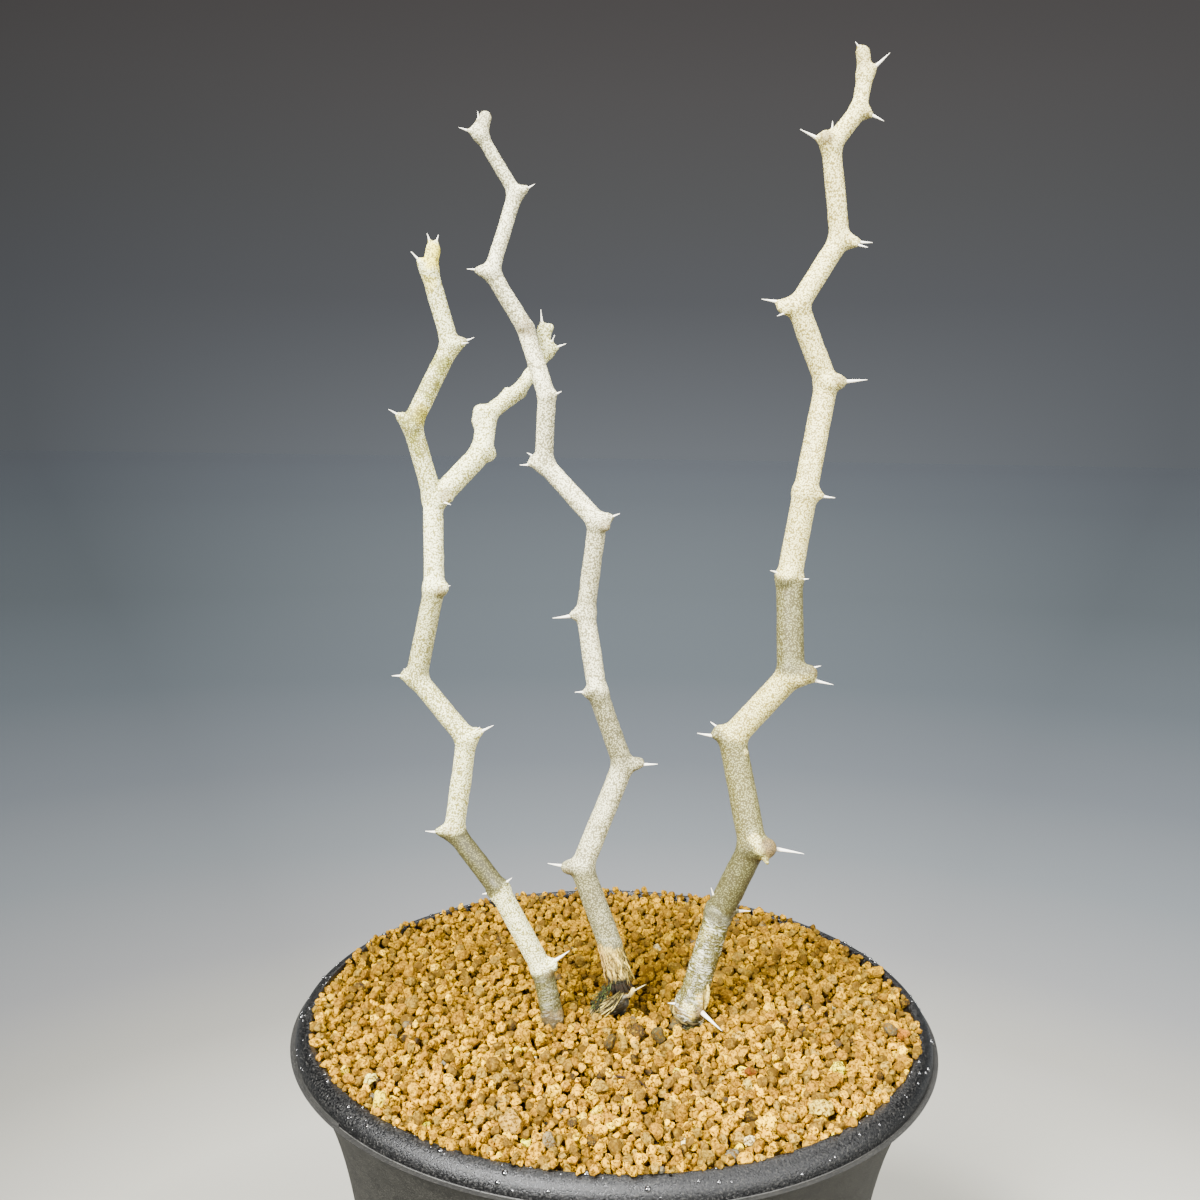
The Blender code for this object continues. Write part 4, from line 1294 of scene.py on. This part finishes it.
def moss_strands(rng):
    """A streak of green moss down the left of the stub."""
    strands = []
    start = np.array(MOSS_START)
    run = np.array(MOSS_END) - start
    for _ in range(MOSS_STRANDS):
        low = start + run * rng.uniform(0.0, 0.8) + rng.normal(0.0, 0.4, 3)
        high = low + run * rng.uniform(0.1, 0.35) + rng.normal(0.0, 0.55, 3)
        middle = (low + high) / 2.0 + rng.normal(0.0, 0.2, 3)
        tone = np.array(MOSS_COLOUR) * rng.choice(MOSS_SHADES)
        strands.append(((low, middle, high), MOSS_RADII, tone))
    return strands


def build_collar():
    """Straw, dark fibres, moss and one dry spine round the middle stem's base."""
    rng = np.random.default_rng(COLLAR_SEED)
    strands = collar_strips(rng) + dark_fibres(rng) + stub_fibres(rng) + moss_strands(rng)
    root, reach = np.array(DRY_SPINE_ROOT), np.array(DRY_SPINE_REACH)
    path = [root + share * reach for share in (0.0, 0.33, 0.67, 1.0)]
    strands.append((path, DRY_SPINE_RADII, DRY_SPINE_COLOUR))
    strand_piece("middle_collar", strands, "bark_middle")


def build_peel():
    """Loose flakes of straw-coloured skin round the right stem's foot."""
    strands = []
    for path, thick, shade in RIGHT_PEELS:
        radii = thick * np.sin(np.linspace(0.35, 2.8, len(path)))
        strands.append((path, radii, np.array(PEEL_COLOUR) * shade))
    strand_piece("right_peel", strands, "bark_right")


def wall_radius(height):
    """Outer radius of the pot's wall."""
    return FOOT_RADIUS + WALL_TAPER * height + WALL_FLARE * math.exp(-(POT_HEIGHT - height) / FLARE_FADE)


def inner_radius(height):
    """Inner radius of the pot."""
    return min(wall_radius(height) - WALL_THICKNESS, RIM_INNER_RADIUS)


def roll_reach(outer):
    """How far the rim's roll runs outwards or inwards from its crest."""
    return RIM_OUTER_RADIUS - RIM_CREST_RADIUS if outer else RIM_CREST_RADIUS - RIM_INNER_RADIUS


def roll_point(roll):
    """Radius and height on the rim's roll, from its outer side over the crest."""
    reach = roll_reach(math.cos(roll) > 0.0)
    return RIM_CREST_RADIUS + reach * math.cos(roll), ROLL_FOOT + RIM_ROLL_HEIGHT * math.sin(roll)


def pot_profile():
    """The pot's closed section as (radius, height, how far it is rim, how far it has the painted lip
    highlight).
    """
    section = [(FOOT_RADIUS - 0.5, 0.0, 0.0, 0.0), (FOOT_RADIUS - 0.1, 0.3, 0.0, 0.0)]
    for share in np.linspace(0.0, 1.0, WALL_STEPS) ** 0.7:
        height = 0.8 + (LIP_HEIGHT - 0.9) * share
        section.append((wall_radius(height), height, 0.0, 0.0))
    section.append((wall_radius(LIP_HEIGHT) + 1.2, LIP_HEIGHT - 0.08, 0.3, 0.0))
    for inset, rise, rim, lip in LIP_SECTION:
        section.append((RIM_OUTER_RADIUS - inset, LIP_HEIGHT + rise, rim, lip))
    for step in range(ROLL_STEPS + 1):
        section.append((*roll_point(-0.05 + (math.pi + 0.05) * step / ROLL_STEPS), 1.0, 0.0))
    for share in np.linspace(0.0, 1.0, INSIDE_STEPS):
        height = (ROLL_FOOT - 2.0) * (1.0 - share) + FLOOR_TOP * share
        section.append((inner_radius(height), height, 0.0, 0.0))
    ring_inside = FOOT_RADIUS - FOOT_RING_WIDTH
    floor = ((0.0, FLOOR_TOP), (0.0, FLOOR_UNDERSIDE), (ring_inside, FLOOR_UNDERSIDE))
    for radius, height in floor + ((ring_inside + 0.1, 0.2), (ring_inside + 0.4, 0.0)):
        section.append((radius, height, 0.0, 0.0))
    return section


def join_rings(body, first, second):
    """Faces between two rings, or between a ring and a point."""
    if len(first) == 1 and len(second) == 1:
        return
    count = max(len(first), len(second))
    for side in range(count):
        after = (side + 1) % count
        if len(first) == 1:
            body.faces.new((first[0], second[side], second[after]))
        elif len(second) == 1:
            body.faces.new((first[side], first[after], second[0]))
        else:
            body.faces.new((first[side], first[after], second[after], second[side]))


def pot_mesh():
    """The pot's section turned round its axis, with how far each point is rim and has the painted lip
    highlight.
    """
    body = bmesh.new()
    layers = [body.verts.layers.float.new(name) for name in ("rim", "lip")]
    rings = []
    for radius, height, *shares in pot_profile():
        ring = []
        for angle in round_angles(POT_SIDES)[:1 if radius == 0.0 else POT_SIDES]:
            vertex = body.verts.new([value * MM for value in round_point(radius, angle, height)])
            for layer, share in zip(layers, shares):
                vertex[layer] = share
            ring.append(vertex)
        rings.append(ring)
    for index, ring in enumerate(rings):
        join_rings(body, ring, rings[(index + 1) % len(rings)])
    bmesh.ops.recalc_face_normals(body, faces=body.faces)
    return mesh_from(body, "pot_shell")


def pot_cutters():
    """Boxes for the drain slots and the foot notches."""
    cutters = []
    rows = (
        (DRAIN_SLOT_COUNT, DRAIN_SLOT_SIZE, DRAIN_SLOT_RADIUS, FLOOR_UNDERSIDE + FLOOR_THICKNESS / 2.0),
        (FOOT_NOTCH_COUNT, FOOT_NOTCH_SIZE, FOOT_RADIUS, 0.0),
    )
    for count, size, radius, height in rows:
        for index in range(count):
            turn = Matrix.Rotation(2.0 * math.pi * (index + 0.5) / count, 3, "Z")
            body = bmesh.new()
            bmesh.ops.create_cube(body, size=1.0)
            bmesh.ops.scale(body, vec=Vector(size) * MM, verts=body.verts)
            bmesh.ops.translate(body, vec=Vector((radius, 0.0, height)) * MM, verts=body.verts)
            bmesh.ops.rotate(body, cent=Vector(), matrix=turn, verts=body.verts)
            cutters.append(bpy.data.objects.new("cutter", mesh_from(body, "cutter")))
    return cutters


def cut_away(target, cutters):
    """Cut a list of objects out of the target and remove them."""
    group = bpy.data.collections.new("cutters")
    bpy.context.scene.collection.children.link(group)
    for item in cutters:
        group.objects.link(item)
    cut = {"operation": "DIFFERENCE", "solver": "EXACT", "operand_type": "COLLECTION", "collection": group}
    target.data = modified_mesh(target, "BOOLEAN", **cut)
    for item in cutters:
        bpy.data.objects.remove(item, do_unlink=True)
    bpy.data.collections.remove(group)


def build_pot():
    """The moulded pot, with its slots and notches."""
    pot = new_object("pot_shell", pot_mesh())
    cut_away(pot, pot_cutters())
    pot.data.shade_smooth()
    pot.data.set_sharp_from_angle(angle=math.radians(POT_CREASE))
    pot.data.materials.append(plastic_material("pot_wall_plastic", WALL_SPECULAR))
    pot.data.materials.append(plastic_material("pot_rim_plastic", RIM_SPECULAR))
    for face in pot.data.polygons:
        face.material_index = int(face.center.z > (LIP_HEIGHT - 0.3) * MM)
    place_piece(pot, "pot_plastic", "pot")


def rim_outward(angle, roll):
    """The direction in which the rim's roll faces."""
    across = math.cos(roll) / (RIM_OUTER_RADIUS - RIM_CREST_RADIUS)
    return unit(np.array(round_point(across, angle, math.sin(roll) / RIM_ROLL_HEIGHT)))


def build_droplets():
    """Small beads of water on the rim, half sunk into it so that each is a low dome."""
    rng = np.random.default_rng(DROPLET_SEED)
    bead, faces = ball(2)
    shapes = []
    for _ in range(DROPLET_COUNT):
        angle = rng.uniform(0.0, 2.0 * math.pi)
        roll = rng.uniform(*DROPLET_ROLLS)
        size = DROPLET_SMALLEST + (DROPLET_LARGEST - DROPLET_SMALLEST) * rng.random() ** DROPLET_BIAS
        radius, height = roll_point(roll)
        points = (bead * (size, size, size * DROPLET_FLATNESS)) @ facing(rim_outward(angle, roll)).T
        shapes.append((np.array(round_point(radius, angle, height)) + points, faces))
    points, faces = joined(shapes)
    place_piece(mesh_object("rim_droplets", points, faces, droplet_material()), "pot_plastic")


def build_flash():
    """A ragged fin of plastic left by the mould under the rim's left side."""
    points = []
    top = ROLL_FOOT + 0.25
    for step in range(FLASH_STEPS + 1):
        share = step / FLASH_STEPS
        angle = math.radians(FLASH_START + (FLASH_END - FLASH_START) * share)
        ragged = layered_noise(np.array(((share * 17.0, 0.5, 0.5),)), 8, 4)[0]
        depth = FLASH_DEPTH * math.sin(math.pi * share) ** 0.6 * (0.75 + 0.45 * ragged)
        bottom = top - 0.5 - max(depth, 0.05)
        out = RIM_OUTER_RADIUS + 0.1 + 0.12 * ragged
        for radius, height in ((out, top), (out + 0.1, bottom), (out - 0.16, bottom), (out - 0.35, top)):
            points.append(round_point(radius, angle, height))
    corners = np.arange(4)
    last = FLASH_STEPS * 4
    ends = (fan(0, corners)[1:-1, ::-1], fan(last, last + corners)[1:-1])
    faces = np.concatenate((ring_strips(0, 4, FLASH_STEPS + 1), *ends))
    finish = plastic_material("pot_flash_plastic", RIM_SPECULAR)
    flash = mesh_object("rim_flash", points, faces, finish)
    flash.data.set_sharp_from_angle(angle=math.radians(FLASH_CREASE))
    store(flash, "rim", np.full(len(points), 0.6))
    # The fin takes a little of the painted lip highlight
    store(flash, "lip", np.full(len(points), 0.3))
    place_piece(flash, "pot_plastic")


def soil_level(x, y):
    """Smooth level of the granules: slightly domed, with a few dips."""
    share = np.hypot(x, y) / RIM_INNER_RADIUS
    level = SOIL_EDGE_LEVEL + SOIL_DOME * (1.0 - share * share)
    for dip_x, dip_y, depth, radius in SOIL_DIPS:
        level = level - depth * np.exp(-((np.hypot(x - dip_x, y - dip_y) / radius) ** 2))
    return level


def rolling_level(x, y):
    """The soil's level with gentle unevenness."""
    place = np.stack((np.atleast_1d(x), np.atleast_1d(y), np.zeros(np.size(x))), axis=1) / SOIL_ROLL_LENGTH
    return soil_level(x, y) + SOIL_ROLLING * value_noise(place, 6)


def build_rootlets():
    """A few loose dark rootlets lying on the granules."""
    strands = []
    for plan, thick, colour in ROOTLETS:
        path = [(x, y, float(soil_level(x, y)) + ROOTLET_LIFT) for x, y in plan]
        strands.append((path, [thick] * (len(path) - 1) + [thick * 0.4], colour))
    strand_piece("rootlets", strands, "soil_granules")


def build_bed():
    """The closed bed under the loose granules, down to the pot's floor."""
    points = [(0.0, 0.0, float(soil_level(0.0, 0.0)) - BED_DROP)]
    for ring in range(1, BED_RINGS + 1):
        for angle in round_angles(BED_SIDES):
            x, y, _ = round_point(BED_RADIUS * ring / BED_RINGS, angle, 0.0)
            points.append((x, y, float(soil_level(x, y)) - BED_DROP))
    top_count = len(points)
    shoulder = SOIL_EDGE_LEVEL - BED_DROP - BED_SHOULDER
    for height in np.linspace(shoulder, FLOOR_TOP + BED_FLOOR_GAP, BED_SIDE_RINGS):
        radius = inner_radius(height) - BED_CLEARANCE
        points += [round_point(radius, angle, height) for angle in round_angles(BED_SIDES)]
    points = np.array(points)
    points[:top_count, 2] += layered_noise(points[:top_count] / BED_LUMP_SIZE, 3) * BED_LUMP_DEPTH
    here = np.arange(BED_SIDES)
    last = len(points) - BED_SIDES
    sides = ring_strips(1, BED_SIDES, BED_RINGS + BED_SIDE_RINGS)[:, ::-1]
    faces = np.concatenate((fan(0, 1 + here), sides, fan(last, last + here)[1:-1, ::-1]))
    bed = mesh_object("granule_bed", points, faces, bed_material())
    place_piece(bed, "soil_granules", "soil")


class GrainBed:
    def __init__(self):
        self.cell = 2.0 * GRAIN_LARGEST
        self.grid = {}
        self.placed = []

    def resting_height(self, x, y, radius, floor):
        """How high a granule dropped here comes to rest."""
        column = int(x // self.cell)
        row = int(y // self.cell)
        z = floor
        for near_column in (column - 1, column, column + 1):
            for near_row in (row - 1, row, row + 1):
                for other in self.grid.get((near_column, near_row), ()):
                    reach = (radius + other[3]) * GRAIN_CLOSENESS
                    apart = (x - other[0]) ** 2 + (y - other[1]) ** 2
                    if apart < reach * reach:
                        z = max(z, other[2] + math.sqrt(reach * reach - apart))
        return z

    def add(self, x, y, z, radius):
        """Leave a granule where it lies."""
        grain = (x, y, z, radius)
        self.grid.setdefault((int(x // self.cell), int(y // self.cell)), []).append(grain)
        self.placed.append(grain)


def rim_top(radius):
    """Height of the rim's roll at this distance from the pot's axis, or a low value inside it."""
    if radius <= RIM_INNER_RADIUS:
        return SOIL_EDGE_LEVEL - BED_DROP
    share = min(abs(radius - RIM_CREST_RADIUS) / roll_reach(radius > RIM_CREST_RADIUS), 1.0)
    return ROLL_FOOT + RIM_ROLL_HEIGHT * math.sqrt(1.0 - share * share)


def near_stem(x, y, radius):
    """Whether a granule here would lie inside a stem."""
    for foot in (limb[0] for limb in (LEFT_STEM, MIDDLE_STEM, RIGHT_STEM)):
        if math.hypot(x - foot.x, y - foot.y) < foot.width / 2.0 + radius * 0.6:
            return True
    return False


def spill_grains(bed, rng):
    """Granules heaped against the rim, and over its crest in front."""
    for _ in range(SPILLED_COUNT):
        angle = rng.uniform(0.0, 2.0 * math.pi)
        ragged = value_noise(np.array((round_point(4.0, angle, 0.5),)), 13)[0]
        front = max(0.0, -math.sin(angle))
        spread = GRAIN_REACH_RADIUS + SPILL_FRONT * front ** 0.5 + SPILL_SPREAD * ragged
        spread -= SPILL_WIDTH * rng.random() ** 0.8
        radius = np.exp(rng.normal(math.log(GRAIN_MEAN_RADIUS), SPILL_GRAIN_SPREAD))
        radius = float(np.clip(radius, GRAIN_SMALLEST, SPILL_LARGEST))
        x, y, _ = round_point(spread, angle, 0.0)
        z = bed.resting_height(x, y, radius, rim_top(spread) + radius * SPILL_LIFT)
        if z + radius < POT_HEIGHT + SPILL_HEIGHT:
            bed.add(x, y, z, radius)


def settle_grains(rng):
    """Drop granules one by one into the lowest of a few places, and return them as x, y, z and radius."""
    radii = np.exp(rng.normal(math.log(GRAIN_MEAN_RADIUS), GRAIN_SPREAD, GRAIN_COUNT))
    radii = np.clip(radii, GRAIN_SMALLEST, GRAIN_LARGEST)
    bed = GrainBed()
    spreads = np.sqrt(rng.random((GRAIN_COUNT, GRAIN_TRIES))) * (GRAIN_REACH_RADIUS - radii[:, None] * 0.8)
    angles = rng.random((GRAIN_COUNT, GRAIN_TRIES)) * 2.0 * math.pi
    columns = spreads * np.cos(angles)
    rows = spreads * np.sin(angles)
    levels = rolling_level(columns.ravel(), rows.ravel()).reshape(columns.shape)
    for index, radius in enumerate(radii):
        rests = []
        for x, y, level in zip(columns[index].tolist(), rows[index].tolist(), levels[index].tolist()):
            if not near_stem(x, y, radius):
                z = bed.resting_height(x, y, radius, level - BED_DROP + radius * GRAIN_LIFT)
                rests.append((z + radius - level, x, y, z))
        if rests:
            bed.add(*min(rests, key=lambda rest: rest[0])[1:], float(radius))
    spill_grains(bed, rng)
    return np.array(bed.placed)


def grain_shape(rng, subdivisions, seed):
    """One angular, lumpy granule of about unit radius, as points and triangles."""
    points, faces = ball(subdivisions)
    for _ in range(GRAIN_FACETS):
        normal = unit(rng.normal(size=3))
        over = points @ normal - rng.uniform(*FACET_PLACES)
        points -= np.outer(np.maximum(over, 0.0) * FACET_FLATNESS, normal)
    lumps = layered_noise(points * GRAIN_LUMP_FINENESS + seed * 7.3, seed, 2)
    points *= (1.0 + GRAIN_LUMP_HEIGHT * lumps)[:, None]
    points /= np.linalg.norm(points, axis=1).mean()
    return points, faces


def random_turns(rng, count):
    """Evenly spread random rotations."""
    quaternion = rng.normal(size=(count, 4))
    quaternion /= np.linalg.norm(quaternion, axis=1)[:, None]
    w, x, y, z = quaternion.T
    turns = np.empty((count, 3, 3))
    turns[:, 0] = np.array((1 - 2 * (y * y + z * z), 2 * (x * y - z * w), 2 * (x * z + y * w))).T
    turns[:, 1] = np.array((2 * (x * y + z * w), 1 - 2 * (x * x + z * z), 2 * (y * z - x * w))).T
    turns[:, 2] = np.array((2 * (x * z - y * w), 2 * (y * z + x * w), 1 - 2 * (x * x + y * y))).T
    return turns


def covered_grains(grains):
    """Which granules lie well below the surface."""
    level = rolling_level(grains[:, 0], grains[:, 1])
    return grains[:, 2] + grains[:, 3] < level - COVERED_MARGIN


def grain_group(name, grains, colours, shapes, rng, finish):
    """One piece made of many granules of the same fineness."""
    kinds = rng.integers(0, len(shapes), len(grains))
    turns = random_turns(rng, len(grains))
    stretches = rng.uniform(*GRAIN_STRETCHES, (len(grains), 3))
    parts = []
    for grain, colour, kind, turn, stretch in zip(grains, colours, kinds, turns, stretches):
        points, faces = shapes[kind]
        parts.append(((points * stretch) @ turn.T * grain[3] + grain[:3], faces, colour))
    made = coloured_piece(name, parts, finish, "soil_granules")
    made.data.set_sharp_from_angle(angle=math.radians(GRAIN_CREASE))


def pick_colours(rng, grains):
    """A colour for each granule, a little off its kind: painted light in front, painted shade at the back.
    """
    palette = np.array([colour for colour, _ in GRAIN_COLOURS])
    shares = np.array([share for _, share in GRAIN_COLOURS])
    chosen = palette[rng.choice(len(palette), len(grains), p=shares / shares.sum())]
    x, y, z, radius = grains.T
    back = np.clip((y - FRONT_END) / (BACK_START - FRONT_END), 0.0, 1.0)
    gain = FRONT_LIGHT_GAIN + (BACK_SHADE_GAIN - FRONT_LIGHT_GAIN) * back
    # Darker on a spot behind the middle stem
    apart = np.hypot(x - DARK_SPOT[0], y - DARK_SPOT[1])
    gain *= 1.0 - (1.0 - DARK_SPOT_GAIN) * np.exp(-((apart / DARK_SPOT_RADIUS) ** 2))
    # Granules deep under the others are darker: partly damp, partly painted shade in the gaps
    under = rolling_level(x, y) - z - radius
    gain *= 1.0 - (1.0 - DEEP_SHADE_GAIN) * np.clip(under / DEEP, 0.0, 1.0)
    gain *= np.exp(rng.normal(0.0, GRAIN_CONTRAST, len(grains)))
    return np.clip(chosen * gain[:, None], 0.0, 0.9)


def single_out(grains, colours):
    """Give the topmost granule near each special place its own size and colour."""
    for x, y, radius, colour in SPECIAL_GRAINS:
        apart = np.hypot(grains[:, 0] - x, grains[:, 1] - y)
        height = np.where(apart < SPECIAL_REACH, grains[:, 2] + grains[:, 3] - apart * 0.5, 0.0)
        chosen = int(np.argmax(height))
        lift = max(0.0, radius - grains[chosen, 3]) * 0.6
        grains[chosen] = (x, y, grains[chosen, 2] + lift, radius)
        colours[chosen] = colour


def build_grains():
    """All the loose granules, in pieces by fineness."""
    rng = np.random.default_rng(GRAIN_SEED)
    grains = settle_grains(rng)
    colours = pick_colours(rng, grains)
    single_out(grains, colours)
    plain = covered_grains(grains) | (grains[:, 3] < SMALL_GRAIN_RADIUS)
    coarse = ~plain & (grains[:, 3] > COARSE_GRAIN_RADIUS)
    finish = grain_material()
    kinds = {"small": plain, "fine": ~plain & ~coarse, "coarse": coarse}
    for label, (subdivisions, most) in GRAIN_PIECES.items():
        shapes = [grain_shape(rng, subdivisions, seed) for seed in range(GRAIN_SHAPES)]
        places = np.flatnonzero(kinds[label])
        for start in range(0, len(places), most):
            part = places[start:start + most]
            name = "granules_" + label + "_" + str(start // most + 1)
            grain_group(name, grains[part], colours[part], shapes, rng, finish)


def colour_stops(shader, share, stops):
    """A colour ramp over a share of the way from the first stop's place to the last one's."""
    node = shader.node("ValToRGB", {"Fac": share})
    marks = node.color_ramp.elements
    while len(marks) < len(stops):
        marks.new(0.5)
    low = stops[0][0]
    for mark, (place, colour) in zip(marks, stops):
        mark.position = (place - low) / (stops[-1][0] - low)
        mark.color = (*colour, 1.0)
    return node.outputs["Color"]


def slant_colour(shader, heading, colour, glow):
    """A colour made brighter towards the viewer's right, and in a band straight ahead: painted light on the
    floor.
    """
    side = shader.node("SeparateXYZ", {0: heading}).outputs["X"]
    slant = shader.math("MULTIPLY_ADD", side, SURROUND_SLANT, 1.0)
    band = shader.ramp(shader.times(side, side), 0.0, GLOW_REACH ** 2, 1.0, 0.0, "LINEAR")
    gain = shader.math("MULTIPLY_ADD", band, glow, slant)
    return shader.node("VectorMath", {0: colour, "Scale": gain}, operation="SCALE").outputs["Vector"]


def build_stage():
    """A wide plain floor with a painted pool of light: pale near the pot and greyer far away."""
    ring = [round_point(FLOOR_RADIUS, angle, 0.0) for angle in round_angles(FLOOR_SIDES)]
    points = [(0.0, 0.0, 0.0)] + ring
    faces = fan(0, 1 + np.arange(FLOOR_SIDES))
    shader = Finish("studio_floor")
    distance = shader.node("VectorMath", {0: shader.coordinates}, operation="LENGTH").outputs["Value"]
    stops = [(math.log10(place), colour) for place, colour in FLOOR_STOPS]
    steps = shader.math("LOGARITHM", distance, 10.0)
    share = shader.ramp(steps, stops[0][0], stops[-1][0], interpolation="LINEAR")
    heading = shader.node("VectorMath", {0: shader.coordinates}, operation="NORMALIZE").outputs["Vector"]
    glow = shader.ramp(distance, GLOW_NEAR_END, GLOW_FAR_START, GLOW_NEAR, GLOW_FAR)
    colour = slant_colour(shader, heading, colour_stops(shader, share, stops), glow)
    floor = mesh_object("studio_floor", points, faces, shader.done(colour, 0.9, None, 0.0))


def build_world():
    """A plain grey surround, darker towards the top."""
    world = bpy.data.worlds.new("studio")
    bpy.context.scene.world = world
    world.use_nodes = True
    shader = Shader(world.node_tree, "Generated")
    rise = shader.node("SeparateXYZ", {0: shader.coordinates}).outputs["Z"]
    share = shader.ramp(rise, 0.0, SKY_STOPS[-1][0], interpolation="LINEAR")
    glow = shader.ramp(rise, 0.0, GLOW_HIGH_START, GLOW_FAR, GLOW_HIGH, "LINEAR")
    colour = slant_colour(shader, shader.coordinates, colour_stops(shader, share, SKY_STOPS), glow)
    shader.link(colour, shader.tree.nodes["Background"].inputs["Color"])


def build_lights():
    """Soft, distant studio light, strongest from the upper left in front."""
    for name, bearing, height, width, strength in LAMPS:
        turn = math.radians(bearing)
        rise = math.radians(height)
        source = Vector((math.sin(turn) * math.cos(rise), -math.cos(turn) * math.cos(rise), math.sin(rise)))
        lamp = bpy.data.lights.new(name, "SUN")
        lamp.angle = math.radians(width)
        lamp.energy = strength
        item = new_object(name, lamp)
        item.location = source
        item.rotation_euler = (-source).to_track_quat("-Z", "Y").to_euler()


def build_camera():
    """The camera at the photograph's viewing angle."""
    pitch = math.radians(CAMERA_PITCH)
    roll = math.radians(CAMERA_ROLL)
    forward = Vector((0.0, math.cos(pitch), math.sin(pitch)))
    level_up = Vector((0.0, -math.sin(pitch), math.cos(pitch)))
    level_right = Vector((1.0, 0.0, 0.0))
    right = level_right * math.cos(roll) - level_up * math.sin(roll)
    up = level_right * math.sin(roll) + level_up * math.cos(roll)
    data = bpy.data.cameras.new("camera")
    data.lens = CAMERA_LENS
    data.sensor_width = SENSOR_WIDTH
    data.clip_start = CAMERA_NEAR
    data.clip_end = CAMERA_FAR
    camera = new_object("camera", data)
    turn = Matrix((right, up, -forward)).transposed().to_4x4()
    camera.matrix_world = Matrix.Translation(Vector(CAMERA_PLACE)) @ turn
    bpy.context.scene.camera = camera


def main():
    """Dress the frame."""
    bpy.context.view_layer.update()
    build_camera()
    build_stage()
    build_world()
    build_lights()
    build_pot()
    build_flash()
    build_droplets()
    build_bed()
    build_grains()
    build_rootlets()
    build_peel()
    for stem in STEMS:
        build_bark(stem)
        build_spines(stem)
    build_collar()


main()
